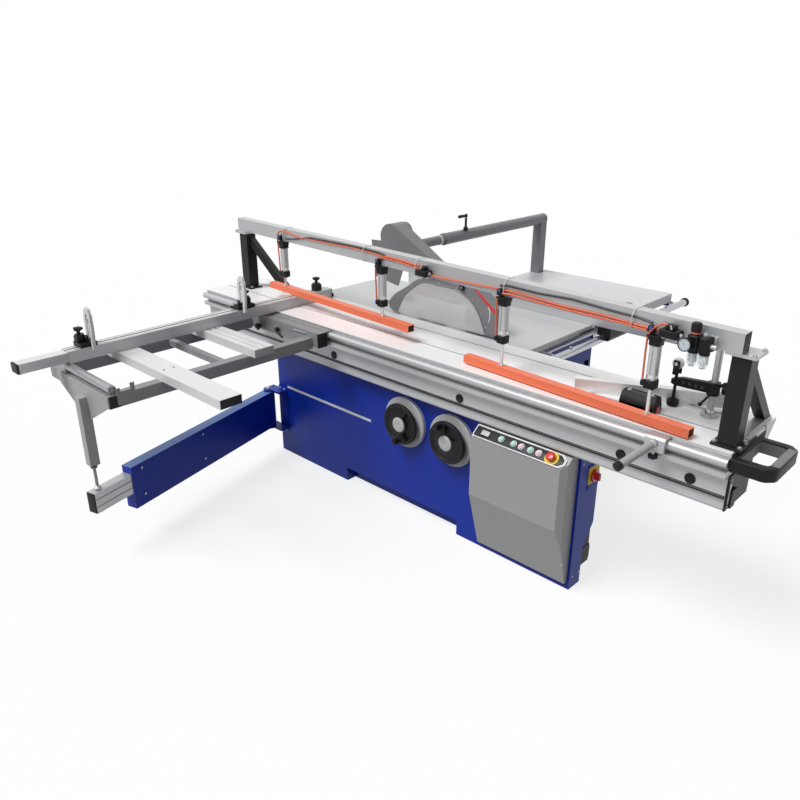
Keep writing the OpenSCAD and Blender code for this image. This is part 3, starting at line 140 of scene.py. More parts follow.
# worn edges, partly real wear and partly a painted highlight on lit edges: where a softened normal leaves the face's
# own
wearAndHighlightTree, takes, gives = newGroup("wornAndLitEdge", [("Width", "NodeSocketFloat", 0.002)], ["Wear"])
soft = addNode(wearAndHighlightTree, "ShaderNodeBevel", samples=4)
surface = addNode(wearAndHighlightTree, "ShaderNodeNewGeometry")
agree = addNode(wearAndHighlightTree, "ShaderNodeVectorMath", operation="DOT_PRODUCT")
place = addNode(wearAndHighlightTree, "ShaderNodeTexCoord")
breakUp = addNode(wearAndHighlightTree, "ShaderNodeTexNoise", {"Scale": 45})
joinUp(wearAndHighlightTree, (takes.outputs[0], soft.inputs["Radius"]), (soft.outputs[0], agree.inputs[0]),
    (surface.outputs["Normal"], agree.inputs[1]), (place.outputs["Object"], breakUp.inputs["Vector"]))
bent = mathNode(wearAndHighlightTree, "SUBTRACT", 1, agree.outputs["Value"], clamp=True)
sharp = mathNode(wearAndHighlightTree, "MULTIPLY", bent, 5, clamp=True)
patchy = mathNode(wearAndHighlightTree, "MULTIPLY", sharp, breakUp.outputs["Fac"])
joinUp(wearAndHighlightTree, (patchy, gives.inputs[0]))

# one inside a box given by its two corners in metres, nothing outside it
zoneTree, takes, gives = newGroup("zone", [("Low", "NodeSocketVector", (0, 0, 0)),
    ("High", "NodeSocketVector", (1, 1, 1))], ["Inside"])
place = addNode(zoneTree, "ShaderNodeTexCoord")
splits = []
for source in (place.outputs["Object"], takes.outputs[0], takes.outputs[1]):
    split = addNode(zoneTree, "ShaderNodeSeparateXYZ")
    joinUp(zoneTree, (source, split.inputs[0]))
    splits.append(split)
inside = None
for axis in range(3):
    above = mathNode(zoneTree, "GREATER_THAN", splits[0].outputs[axis], splits[1].outputs[axis])
    below = mathNode(zoneTree, "LESS_THAN", splits[0].outputs[axis], splits[2].outputs[axis])
    both = mathNode(zoneTree, "MULTIPLY", above, below)
    inside = both if inside is None else mathNode(zoneTree, "MULTIPLY", inside, both)
joinUp(zoneTree, (inside, gives.inputs[0]))
print("node groups built")

far = 9000
bumpStrength, bumpDepth, grainDepth = 0.6, 0.0006, 0.02
edgeSpread, grainRough, coatRough = 0.06, 0.12, 0.15  # how far roughness strays from its mean, and what grain adds
clearIndex = 1.3


# a box, unbounded where no range is given, and the finish inside it
def zone(colour, x=(-far, far), y=(-far, far), z=(-far, far), **look):
    return {"box": list(zip(x, y, z)), "colour": colour, **look}


def newMaterial(name):
    material = bpy.data.materials.new(name)
    material.use_nodes = True
    return material, material.node_tree, material.node_tree.nodes["Principled BSDF"]


# every finish on the saw: a base, grain or peel, edges with wear and a painted highlight, and zones on the same piece,
# some another finish, some painted light and shade
def makeFinish(name, colour, rough=0.45, metal=0.0, grain=None, grainTone=0.12, peel=0.0,
               fineness=900, mottle=0.06, wearAndHighlight=0.0, wearAndHighlightColour=200, wearAndHighlightWidth=0.002, coat=0.0, gloss=0.5, zones=()):
    colour = shade(colour)
    material, tree, shader = newMaterial(name)
    skin = addNode(tree, "ShaderNodeGroup", {"Fineness": fineness}, node_tree=peelTree)
    tone = mixColour(tree, skin.outputs["Mottle"], tuple(c * (1 - mottle) for c in colour[:3]) + (1,),
        tuple(min(1, c * (1 + mottle)) for c in colour[:3]) + (1,))
    roughness = mixValue(tree, skin.outputs["Mottle"], max(0.02, rough - edgeSpread), min(1, rough + edgeSpread))
    metallic = metal
    height = mathNode(tree, "MULTIPLY", skin.outputs["Peel"], peel)
    if grain:
        lines = addNode(tree, "ShaderNodeGroup", {"Stretch": grain}, node_tree=grainTree)
        tone = mixColour(tree, grainTone, tone, mixColour(tree, lines.outputs["Grain"], (0, 0, 0, 1), (1, 1, 1, 1)),
            "OVERLAY")
        roughness = mathNode(tree, "ADD", roughness, mathNode(tree, "MULTIPLY", lines.outputs["Grain"], grainRough))
        height = mathNode(tree, "ADD", height, mathNode(tree, "MULTIPLY", lines.outputs["Grain"], grainDepth))
    for part in zones:
        mask = addNode(tree, "ShaderNodeGroup", node_tree=zoneTree)
        for socket, corner in zip(mask.inputs, part["box"]):
            socket.default_value = tuple(place * unit for place in corner)
        tone = mixColour(tree, mask.outputs[0], tone, shade(part["colour"]))
        roughness = mixValue(tree, mask.outputs[0], roughness, part.get("rough", rough))
        if "metal" in part or metallic is not metal:
            metallic = mixValue(tree, mask.outputs[0], metallic, part.get("metal", metal))
    # edges get a lighter colour here: partly wear, partly a painted highlight where edges catch the light
    if wearAndHighlight:
        edge = addNode(tree, "ShaderNodeGroup", {"Width": wearAndHighlightWidth}, node_tree=wearAndHighlightTree)
        amount = mathNode(tree, "MULTIPLY", edge.outputs["Wear"], wearAndHighlight, clamp=True)
        tone = mixColour(tree, amount, tone, shade(wearAndHighlightColour))
    bump = addNode(tree, "ShaderNodeBump", {"Strength": bumpStrength, "Distance": bumpDepth, "Height": height})
    fill(tree, shader, {"Normal": bump.outputs["Normal"], "Base Color": tone, "Roughness": roughness,
        "Metallic": metallic, "Specular IOR Level": gloss, "Coat Weight": coat, "Coat Roughness": coatRough})
    return material


def makeClear(name, colour, rough=0.03, strength=0.92):
    material, tree, shader = newMaterial(name)
    skin = addNode(tree, "ShaderNodeGroup", {"Fineness": 60}, node_tree=peelTree)
    haze = mixValue(tree, skin.outputs["Mottle"], rough, rough + 0.05)
    tone = mixColour(tree, skin.outputs["Mottle"], colour, tuple(c * 0.94 for c in colour[:3]) + (1,))
    fill(tree, shader, {"Transmission Weight": strength, "IOR": clearIndex, "Roughness": haze, "Base Color": tone})
    return material


alongX = (1.6, 420, 420)
alongY = (420, 1.6, 420)
alongZ = (420, 420, 1.6)

# the paler blue at the edges of the blue paint is partly wear, partly a painted highlight on lit edges
blueLook = {"rough": 0.42, "peel": 0.35, "mottle": 0.08, "wearAndHighlight": 0.4, "wearAndHighlightColour": (84, 104, 186), "gloss": 0.3}
bluePaint = makeFinish("bluePaint", (6, 46, 162), **blueLook)
bluePanel = makeFinish("bluePanel", (6, 46, 162), **blueLook,
    zones=[zone((226, 228, 232), x=(-882, -190), y=(-390, -370), z=(415, 430))])
greyPaint = makeFinish("greyPaint", 172, rough=0.42, peel=0.5, mottle=0.05, wearAndHighlight=0.5, wearAndHighlightColour=215)
paleGrey = makeFinish("paleGrey", (196, 197, 198), rough=0.4, peel=0.3, mottle=0.04, wearAndHighlight=0.3, wearAndHighlightColour=225)
deepGrey = makeFinish("deepGrey", (124, 126, 129), rough=0.4, peel=0.4, mottle=0.08, wearAndHighlight=0.4, wearAndHighlightColour=170)
nearBlack = makeFinish("nearBlack", (24, 24, 26), rough=0.42, peel=0.5, mottle=0.15, wearAndHighlight=0.35, wearAndHighlightColour=90,
    gloss=0.22)
tableLook = {"rough": 0.36, "metal": 0.3, "grain": alongX, "grainTone": 0.2, "mottle": 0.06, "wearAndHighlight": 0.3,
    "wearAndHighlightColour": 235}
tableIron = makeFinish("groundIron", (204, 205, 206), **tableLook)
sheetTable = makeFinish("sheetTable", (214, 215, 217), **tableLook)
unitIron = makeFinish("castUnit", (96, 98, 101), rough=0.6, peel=1.4, fineness=260, mottle=0.12, wearAndHighlight=0.3,
    wearAndHighlightColour=150)
alloy = {"rough": 0.36, "metal": 0.5, "grainTone": 0.18, "mottle": 0.05, "wearAndHighlight": 0.2, "wearAndHighlightColour": 236,
    "wearAndHighlightWidth": 0.0009}
aluminium = makeFinish("anodisedX", (196, 197, 199), grain=alongX, **alloy)
aluminiumZ = makeFinish("anodisedZ", (202, 203, 205), grain=alongZ, **alloy)
steel = makeFinish("groundSteel", (180, 181, 183), rough=0.3, metal=0.75, grain=alongX, grainTone=0.2, mottle=0.06)
chrome = makeFinish("chromePlate", (182, 183, 187), rough=0.18, metal=0.95, mottle=0.03)
red = makeFinish("redPlastic", (214, 34, 34), rough=0.28, mottle=0.06, coat=0.4)
orangeHose = makeFinish("orangeHose", (240, 116, 80), rough=0.32, mottle=0.05, coat=0.25)
blackHose = makeFinish("blackHose", (24, 24, 26), rough=0.32, mottle=0.1, coat=0.25)
black = makeFinish("blackPlastic", (23, 23, 25), rough=0.46, peel=0.5, fineness=1500, mottle=0.12, wearAndHighlight=0.3,
    wearAndHighlightColour=80, gloss=0.22)
gripGrey = makeFinish("gripGrey", (126, 127, 129), rough=0.6, peel=0.9, fineness=1300, mottle=0.08)
panelBlack = makeFinish("panelBlack", (44, 45, 48), gloss=0.3, rough=0.35, peel=0.8, fineness=2200, mottle=0.1)
tealPlastic = makeFinish("tealPlastic", (150, 206, 192), rough=0.3, mottle=0.05, coat=0.3)
pinkPlastic = makeFinish("pinkPlastic", (222, 178, 194), rough=0.3, mottle=0.05, coat=0.3)
yellowPlastic = makeFinish("yellowPlastic", (238, 208, 50), rough=0.4, mottle=0.04)
white = makeFinish("whitePlastic", (228, 229, 229), rough=0.4, peel=0.3, mottle=0.04)
rubber = makeFinish("beltRubber", (22, 22, 23), gloss=0.2, rough=0.75, peel=1.2, fineness=700, mottle=0.15)
clearPlastic = makeClear("clearPlastic", (0.9, 0.95, 0.98, 1))
hazyPlastic = makeClear("hazyPlastic", (0.86, 0.88, 0.89, 1), rough=0.1, strength=0.5)

rodLook = {"rough": 0.12, "metal": 0.9}
barLook = {"rough": 0.42, "peel": 0.4, "mottle": 0.06, "wearAndHighlight": 0.5, "wearAndHighlightColour": (255, 190, 160)}
leftBarSkin = makeFinish("leftBarPaint", (246, 122, 82), **barLook, zones=[zone(214, z=(990.4, far), **rodLook)])
rightBarSkin = makeFinish("rightBarPaint", (246, 122, 82), **barLook, zones=[zone(214, z=(940.4, far), **rodLook)])
trimSkin = makeFinish("trimSkin", (23, 23, 25), gloss=0.22, rough=0.46, peel=0.5, fineness=1500, mottle=0.12,
    zones=[zone((6, 46, 162), x=(1036, 1041), y=(-313, -227), z=(466, 583), rough=0.42),
    zone((238, 208, 50), x=(1036, 1041), y=(-313, -227), z=(493, 571), rough=0.4)])
# the carriage's top is painted near white and all below z 897.5 a darker grey: painted light on the top, painted shade
# on the sides
carriageSkin = makeFinish("carriageSkin", (250, 250, 251), rough=0.36, metal=0.05, grain=alongX, grainTone=0.12,
    mottle=0.04, wearAndHighlight=0.3, wearAndHighlightColour=248, zones=[zone((194, 195, 197), z=(-far, 897.5), rough=0.36, metal=0.45)])
baseBeamSkin = makeFinish("baseBeamSkin", (206, 207, 209), rough=0.4, metal=0.3, grain=alongX, grainTone=0.18,
    mottle=0.06, wearAndHighlight=0.5, wearAndHighlightColour=225, zones=[zone(40, z=(727, 735), rough=0.7, metal=0.0)])
# the beam's top face is painted lighter where light falls on it, and its right end face is painted dark grey as shade
pressureSkin = makeFinish("pressureSkin", (188, 189, 191), grain=alongX, **alloy,
    zones=[zone(204, z=(1308.6, 1312), metal=0.4), zone(84, x=(1598, 1612), rough=0.5, metal=0.2)])
postSkin = makeFinish("postSkin", (26, 26, 28), rough=0.42, peel=0.5, mottle=0.15, wearAndHighlight=0.35, wearAndHighlightColour=90, gloss=0.25,
    zones=[zone(200, z=(1228.5, 1240), rough=0.3, metal=0.5)])
outriggerSkin = makeFinish("outriggerSkin", (142, 143, 146), rough=0.42, peel=0.4, mottle=0.08, wearAndHighlight=0.15,
    wearAndHighlightColour=190, wearAndHighlightWidth=0.0009, zones=[zone(236, y=(-1384, -1278), x=(-1012, 12), z=(860.5, far), rough=0.36,
    metal=0.15), zone(236, y=(-932, -818), x=(-1012, 12), z=(860.5, far), rough=0.36, metal=0.15)])
fittingBlack = {"rough": 0.46, "metal": 0.0}
fittingsSkin = makeFinish("fittingsSkin", (186, 187, 189), grain=alongX, **alloy,
    zones=[zone(24, x=(-880, -830), y=(-180, -128), z=(955.5, 1000), **fittingBlack),
    zone(236, x=(930, 1400), y=(-345, -40), z=(900.5, 962), rough=0.36),
    zone(24, x=(1140, 1300), y=(-352, -273), z=(899, 965), **fittingBlack)])
# the arm's top face is painted a paler blue: a painted highlight where light falls on it
armSkin = makeFinish("armPaint", (6, 46, 162), **blueLook, zones=[zone((104, 132, 190), z=(387.4, 389))])
fenceSkin = makeFinish("fenceSkin", (186, 187, 189), grain=alongY, **alloy,
    zones=[zone(228, y=(-1605, -70), z=(954.4, far), metal=0.3),
    zone(228, y=(-1815, -1600), z=(949.2, far), metal=0.3)])
rollerSkin = makeFinish("rollerSkin", (168, 169, 172), rough=0.3, metal=0.75, grain=alongX, grainTone=0.15, mottle=0.05)

finishes = ((bluePanel, "cabinet"),
    (bluePaint, "rear_door"),
    (tableIron, "main_table"),
    (steel, "table_insert arbor main_blade motor_pulley riving_knife scoring_spindle"),
    (sheetTable, "extension_table"),
    (baseBeamSkin, "base_beam"),
    (trimSkin, "plastic_trim"),
    (greyPaint, "control_box support_leg"),
    (panelBlack, "control_panel"),
    (tealPlastic, "button_1 button_2 button_4"),
    (pinkPlastic, "button_3 button_5"),
    (red, "estop_button main_switch"),
    (paleGrey, "wheel_collars"),
    (black, "rise_wheel tilt_wheel rip_carrier push_handle air_unit stop_block_outer stop_block_inner"),
    (unitIron, "trunnion_segments saw_frame lift_unit scoring_unit"),
    (deepGrey, "motor guard_post guard_arm hood"),
    (rubber, "drive_belt"),
    (hazyPlastic, "hood_window"),
    (chrome, "fence_rail"),
    (aluminium, "rip_fence arm_slider grab_handle"),
    (armSkin, "swing_arm"),
    (carriageSkin, "carriage"),
    (postSkin, "beam_posts"),
    (pressureSkin, "pressure_beam"),
    (aluminiumZ, "air_cylinders"),
    (orangeHose, "air_hoses"),
    (leftBarSkin, "bar_left"),
    (rightBarSkin, "bar_right"),
    (outriggerSkin, "outrigger"),
    (rollerSkin, "outrigger_roller"),
    (fenceSkin, "crosscut_fence fence_extension"),
    (white, "stop_flap_outer stop_flap_inner"),
    (fittingsSkin, "carriage_fittings"),
    (nearBlack, "hold_down_arm"))
for material, names in finishes:
    for name in names.split():
        mesh = nodes[name].data
        mesh.materials.clear()
        mesh.materials.append(material)
print("finishes on the packed pieces")

light = {"sunStrength": 2.45, "sunAngle": 28, "sunFrom": (-0.36, -0.8, 1.3), "sky": 0.3, "floorTone": 0.24,
    "floorLift": 0.77, "floorSize": 60}

sunData = bpy.data.lights.new("softSun", "SUN")
sunData.energy = light["sunStrength"]
sunData.angle = math.radians(light["sunAngle"])
sun = addObject("softSun", sunData)
sun.rotation_euler = Vector(light["sunFrom"]).to_track_quat("Z", "Y").to_euler()


# one where the viewer looks straight, in a mirror or through glass, so that sky and floor read white there
def lookedAt(tree):
    rays = addNode(tree, "ShaderNodeLightPath")
    direct = mathNode(tree, "MAXIMUM", rays.outputs["Is Camera Ray"], rays.outputs["Is Glossy Ray"])
    return mathNode(tree, "MAXIMUM", direct, rays.outputs["Is Transmission Ray"])


world = bpy.data.worlds.new("paleStudio")
bpy.context.scene.world = world
world.use_nodes = True
sky = world.node_tree
strength = mixValue(sky, lookedAt(sky), light["sky"], 1.0)
fill(sky, sky.nodes["Background"], {"Strength": strength, "Color": (1, 1, 1, 1)})

bpy.ops.object.select_all(action="DESELECT")
bpy.ops.mesh.primitive_plane_add(size=light["floorSize"], location=(0, 0, 0))
floor = bpy.context.object
floor.name = "floor"
floorMaterial, tree, shader = newMaterial("paleFloor")
tree.nodes.remove(shader)
matt = addNode(tree, "ShaderNodeBsdfDiffuse", {"Color": (light["floorTone"],) * 3 + (1,)})
raised = mathNode(tree, "MULTIPLY", lookedAt(tree), light["floorLift"])
lift = addNode(tree, "ShaderNodeEmission", {"Strength": raised})
both = addNode(tree, "ShaderNodeAddShader")
joinUp(tree, (matt.outputs[0], both.inputs[0]), (lift.outputs[0], both.inputs[1]),
    (both.outputs[0], tree.nodes["Material Output"].inputs["Surface"]))
floor.data.materials.append(floorMaterial)
print("light and floor")

softAngle = 35  # an edge that turns less than this isn't softened


def clearSelection():
    if bpy.context.object and bpy.context.object.mode != "OBJECT":
        bpy.ops.object.mode_set(mode="OBJECT")
    bpy.ops.object.select_all(action="DESELECT")


def pick(piece):
    clearSelection()
    piece.select_set(True)
    bpy.context.view_layer.objects.active = piece


# a spot in the saw's frame: where, which way the piece's own Z points, and its turn about that
def at(x, y, z, facing=(0, 0, 1), spin=0, base=None):
    turn = Vector((0, 0, 1)).rotation_difference(Vector(facing)).to_matrix().to_4x4()
    spot = Matrix.Translation(Vector((x, y, z)) * unit) @ turn @ Matrix.Rotation(math.radians(spin), 4, "Z")
    return base @ spot if base else spot


beamBase = at(0, -326.2, 0, spin=-3.622)  # the pressure beam stands askew over the sliding table


def onBeam(*spot):
    return at(*spot, base=beamBase)


def startDisc(name, corners, radius):
    clearSelection()
    bpy.ops.mesh.primitive_circle_add(vertices=corners, radius=radius, fill_type="NGON", location=(0, 0, 0))
    bpy.context.object.name = name
    return bpy.context.object


def editAll():
    bpy.ops.object.mode_set(mode="EDIT")
    bpy.ops.mesh.select_all(action="SELECT")


def extrude(rise):
    bpy.ops.mesh.extrude_region_move(TRANSFORM_OT_translate={"value": (0, 0, rise * unit)})


def closeEdit():
    bpy.ops.mesh.select_all(action="SELECT")
    bpy.ops.mesh.normals_make_consistent(inside=False)
    bpy.ops.object.mode_set(mode="OBJECT")


# a disc drawn up through rings of (radius, height)
def turned(name, rings, steps=48):
    piece = startDisc(name, steps, rings[0][0] * unit)
    editAll()
    bpy.ops.transform.translate(value=(0, 0, rings[0][1] * unit))
    for (inner, low), (outer, high) in zip(rings, rings[1:]):
        extrude(high - low)
        bpy.ops.transform.resize(value=(outer / inner, outer / inner, 1))
    closeEdit()
    return piece


# a flat outline drawn up to its depth
def slab(name, outline, depth, lift=0):
    piece = startDisc(name, len(outline), 0.01)
    for corner, (x, y) in zip(piece.data.vertices, outline):
        corner.co = (x * unit, y * unit, lift * unit)
    editAll()
    extrude(depth)
    closeEdit()
    return piece


def box(name, low, high):
    clearSelection()
    middle = [(a + b) / 2 * unit for a, b in zip(low, high)]
    bpy.ops.mesh.primitive_cube_add(size=1, location=middle)
    piece = bpy.context.object
    piece.name = name
    piece.scale = [(b - a) * unit for a, b in zip(low, high)]
    bpy.ops.object.transform_apply(location=True, rotation=True, scale=True)
    return piece


# a box with soft edges
def block(name, low, high, width, segments=2):
    return softened(box(name, low, high), width, segments)


# extra push on the faces that a test picks: inset first, then along their normal
def pressIn(piece, test, rim, push):
    pick(piece)
    bpy.ops.object.mode_set(mode="EDIT")
    bpy.ops.mesh.select_mode(type="FACE")
    bpy.ops.mesh.select_all(action="DESELECT")
    shell = bmesh.from_edit_mesh(piece.data)
    for face in shell.faces:
        face.select = bool(test(face.calc_center_median() / unit, face.normal))
    bmesh.update_edit_mesh(piece.data)
    if rim:
        bpy.ops.mesh.inset(thickness=rim * unit, depth=0)
    bpy.ops.mesh.extrude_region_shrink_fatten(TRANSFORM_OT_shrink_fatten={"value": push * unit})
    bpy.ops.object.mode_set(mode="OBJECT")


def cutOut(piece, hollow):
    pick(piece)
    cutter = piece.modifiers.new("opening", "BOOLEAN")
    cutter.object = hollow
    cutter.operation = "DIFFERENCE"
    cutter.solver = "EXACT"
    bpy.ops.object.modifier_apply(modifier=cutter.name)
    bpy.data.objects.remove(hollow)
    return piece


def softened(piece, width, segments=2):
    pick(piece)
    modifier = piece.modifiers.new("softEdge", "BEVEL")
    modifier.width = width * unit
    modifier.segments = segments
    modifier.limit_method = "ANGLE"
    modifier.angle_limit = math.radians(softAngle)
    bpy.ops.object.modifier_apply(modifier=modifier.name)
    return piece


# a round bar or hose along points, as one closed tube
def tube(name, points, radius, rounding=3):
    clearSelection()
    curve = bpy.data.curves.new(name, "CURVE")
    curve.dimensions = "3D"
    curve.bevel_depth = radius * unit
    curve.bevel_resolution = rounding
    curve.use_fill_caps = True
    line = curve.splines.new("POLY")
    line.points.add(len(points) - 1)
    for spot, point in zip(line.points, points):
        spot.co = (*(Vector(point) * unit), 1)
    pick(addObject(name, curve))
    bpy.ops.object.convert(target="MESH")
    piece = bpy.context.object
    editAll()
    bpy.ops.mesh.remove_doubles(threshold=0.00001)
    closeEdit()
    return piece


def rounded(points, reach, steps=6):
    points = [Vector(point) for point in points]
    path = [points[0]]
    for before, corner, after in zip(points, points[1:], points[2:]):
        back, on = before - corner, after - corner
        start = corner + back.normalized() * min(reach, back.length * 0.45)
        end = corner + on.normalized() * min(reach, on.length * 0.45)
        for step in range(steps + 1):
            t = step / steps
            path.append(start * (1 - t) ** 2 + corner * 2 * t * (1 - t) + end * t * t)
    path.append(points[-1])
    return path


def copied(piece, name):
    twin = piece.copy()
    twin.data = piece.data.copy()
    twin.name = name
    bpy.context.scene.collection.objects.link(twin)
    return twin


def dress(piece, material, body, spot=None, stands=(), smooth=38, slot=None):
    pick(piece)
    if spot is not None:
        piece.matrix_world = spot
    bpy.ops.object.transform_apply(location=True, rotation=True, scale=True)
    if smooth:
        bpy.ops.object.shade_smooth_by_angle(angle=math.radians(smooth))
    piece.data.materials.clear()
    piece.data.materials.append(material)
    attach(piece, body)
    if stands:
        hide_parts(*stands)
    return piece


def dressAll(body, *rows):
    for piece, material, *spot in rows:
        dress(piece, material, body, *spot)


# the same piece at several spots, the model of it then taken away
def spread(model, stem, spots, material, body):
    made = [dress(copied(model, name), material, body, spot) for name, spot in zip(numbered(stem, len(spots)), spots)]
    bpy.data.objects.remove(model)
    return made


def numbered(stem, count):
    return [stem + str(number + 1) for number in range(count)]


# knob with lobes: the outer wall of a turned piece swells between its grips
def lobed(piece, lobes, swell, inside):
    for corner in piece.data.vertices:
        reach = math.hypot(corner.co.x, corner.co.y)
        if reach > inside * unit:
            turn = math.atan2(corner.co.y, corner.co.x)
            grow = 1 + swell * (math.cos(lobes * turn) - 1) / 2
            corner.co.x *= grow
            corner.co.y *= grow
    return piece


handwheel = {"x": (64, 363), "face": -402, "z": 501, "body": ("rise_wheel", "tilt_wheel"),
    "dish": [(30, 4), (42, 9), (90, 9), (99, 13), (105, 18), (107, 24), (105, 30), (99, 34), (92, 34), (88, 31),
    (84, 27), (80, 27.5), (62, 31), (46, 34.5), (40, 35.5), (38, 35), (37, 31), (1, 31)],
    "cap": [(38, 30), (38, 37), (37, 39), (34, 40), (4, 40.4), (3.4, 39.4), (1, 39.4)],
    "grip": [(6, 34), (9, 36), (12, 38), (13.2, 44), (14.2, 58), (15, 68), (14.2, 72), (11, 74), (1, 74)],
    "gripReach": 83, "gripTurn": (-90, 112), "slots": ((-66, 62), (26, 98))}

for side in range(2):
    body = handwheel["body"][side]
    spot = at(handwheel["x"][side], handwheel["face"], handwheel["z"], (0, -1, 0))
    dish = turned(body + "Dish", handwheel["dish"], 72)
    start, end = handwheel["slots"][side]  # the folding crank's pocket
    pressIn(dish, lambda c, n: n.z > 0.6 and 44 < math.hypot(c.x, c.y) < 90
        and start < math.degrees(math.atan2(c.y, c.x)) < end, 2.2, -14)
    dress(softened(dish, 0.8), black, body, spot, stands=(body,))
    dress(softened(turned(body + "Cap", handwheel["cap"], 48), 0.5), paleGrey, body, spot)
    gripTurn = math.radians(handwheel["gripTurn"][side])
    gripSpot = spot @ at(handwheel["gripReach"] * math.cos(gripTurn), handwheel["gripReach"] * math.sin(gripTurn), 0)
    dress(turned(body + "Grip", handwheel["grip"], 28), black, body, gripSpot)
    dress(turned(body + "GripPin", [(7, 26), (7, 33), (8.5, 33.5), (8.5, 36), (1, 36)], 24), chrome, body, gripSpot)
    dress(turned(body + "Shaft", [(10, -60), (10, 0), (16, 0.6), (16, 5), (1, 5)], 28), steel, body, spot)
print("handwheels")

panel = {"mid": (-456, 638), "tilt": 39.806, "x": (552, 1012), "half": 31, "buttons": (694, 758, 797, 843, 884),
    "estop": 945, "display": 609}


def onPanel(x):
    return at(x, *panel["mid"]) @ Matrix.Rotation(math.radians(panel["tilt"]), 4, "X")


displaySpot, stopSpot = onPanel(panel["display"]), onPanel(panel["estop"])
left, right = panel["x"][0] - panel["display"], panel["x"][1] - panel["display"]
half, cut, bigCut = panel["half"], 8, 20
trayOutline = [(left + cut, -half), (right - bigCut, -half), (right, -half + bigCut), (right, half - bigCut),
    (right - bigCut, half), (left + cut, half), (left, half - cut), (left, -half + cut)]
tray = slab("panelTray", trayOutline, 7)
pressIn(tray, lambda c, n: n.z > 0.9, 4.5, -3.2)
dress(softened(tray, 0.9), aluminium, "machine", displaySpot, stands=("control_panel",))
faceOutline = [(x * 0.972 + 0.4, y * 0.79) for x, y in trayOutline]
dress(softened(slab("panelFace", faceOutline, 0.9, 3.6), 0.3), panelBlack, "machine", displaySpot)

bezel = box("displayBezel", (-26, -17, 3.6), (26, 17, 7.4))
pressIn(bezel, lambda c, n: n.z > 0.9, 5, -1.6)
dress(softened(bezel, 0.8), nearBlack, "machine", displaySpot, slot="panel_black")
dress(block("displayGlass", (-20.4, -11.4, 5.4), (20.4, 11.4, 6.2), 0.3), paleGrey, "machine", displaySpot)

rimRings = [(14.6, 3.8), (14.6, 7.2), (13.8, 8.2), (12.2, 8.2), (11.7, 7.4), (11.6, 5.4), (1, 5.4)]
rims = [onPanel(x) for x in panel["buttons"]]
spread(turned("rim", rimRings, 36), "buttonRim", rims, aluminium, "machine")
capRings = [(6, 0), (6, 7), (10.9, 7.3), (10.9, 11), (10.4, 12), (9.4, 12.3), (7.6, 12.1), (4, 11.6), (0.5, 11.5)]
pushers = [("start_main", tealPlastic), ("start_scoring", tealPlastic), ("stop_saw", pinkPlastic),
    ("raise_beam", tealPlastic), ("stop_air", pinkPlastic)]
for x, node, (body, look) in zip(panel["buttons"], numbered("button_", 5), pushers):
    dress(turned(node + "Cap", capRings, 36), look, body, onPanel(x), stands=(node,))

collar = turned("stopCollar", [(31, 3.6), (31, 5), (30.2, 5.6), (14, 5.8), (13.4, 7), (12.4, 7.4), (9.6, 7.4), (9.5, 6),
    (1, 6)], 48)
dress(collar, yellowPlastic, "machine", stopSpot)
mushroom = [(7.8, -6), (7.8, 14), (14.6, 15), (18.6, 16.8), (20, 19.6), (20, 22.4), (18.4, 25.4), (15, 27.2), (8, 28),
    (0.5, 28.1)]
dress(turned("stopMushroom", mushroom, 48), red, "estop", stopSpot, stands=("estop_button",))
screwHead = [(4.6, 0), (4.6, 1.4), (3.8, 2.4), (2.2, 2.6), (2, 1.6), (0.4, 1.6)]
boxScrews = [at(x, y, z, (1, 0, 0)) for x, y, z in ((1024, -436, 520), (1024, -436, 150))]
spread(turned("screw", screwHead, 20), "boxScrew", boxScrews, steel, "machine")

switchSpot = at(1040, -270, 525, (1, 0, 0))
dial = lobed(turned("switchDial", [(28, 0.4), (29, 2), (29, 9), (27.4, 11.4), (14, 12), (1, 12)], 60), 12, 0.05, 15)
dress(dial, red, "switch", switchSpot, stands=("main_switch",))
dressAll("switch",
    (block("switchWing", (-17, -6.5, 10), (17, 6.5, 31), 3.4, 3), red, switchSpot),
    (block("switchPointer", (-15, -1.2, 30.6), (-6, 1.2, 31.4), 0.3), white, switchSpot))
print("controls")

air = {"x": (-955, -133, 625, 1308), "y": -25, "flange": (1231, 1239), "topCap": (1200, 1231), "barrel": (1075, 1200),
    "lowCap": (1040, 1075)}

spots = [onBeam(x, air["y"], 0) for x in air["x"]]
flange = block("flange", (-28, -26, air["flange"][0]), (28, 50, air["flange"][1]), 1.6)
plates = spread(flange, "cylinderFlange", spots, nearBlack, "carriage")
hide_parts("air_cylinders")
for label, (low, high), flare in (("cylinderTop", air["topCap"], 6), ("cylinderFoot", air["lowCap"], 0)):
    outline = [(-20, low), (20, low), (20, low + 14), (20 + flare, high), (-20 - flare, high), (-20, low + 14)]
    cap = slab(label, outline, 40, -20)
    cap.data.transform(Matrix.Rotation(math.radians(90), 4, "X"))
    softened(cap, 4, 3)
    pressIn(cap, lambda c, n: n.y < -0.9 and abs(c.x) < 14, 5, -2.5)
    spread(softened(cap, 0.6), label, spots, black, "carriage")
low, high = air["barrel"]
half, corner, groove = 17, 6, 2
quarter = [(half, -corner * 1.6), (half, -groove), (half - 2.6, -groove), (half - 2.6, groove), (half, groove),
    (half, half - corner)]
for turn in (18, 36, 54, 72):
    angle = math.radians(turn)
    quarter.append((half - corner + corner * math.cos(angle), half - corner + corner * math.sin(angle)))
section = []
for turn in range(4):
    for x, y in quarter:
        section.append(((x, y), (-y, x), (-x, -y), (y, -x))[turn])
barrel = slab("barrel", section, high - low + 1, low - 0.5)
spread(barrel, "cylinderBarrel", spots, aluminiumZ, "carriage")
gland = turned("gland", [(14, 1036), (14, 1040.5), (12, 1041), (1, 1041)], 32)
spread(gland, "rodGland", spots, steel, "carriage")

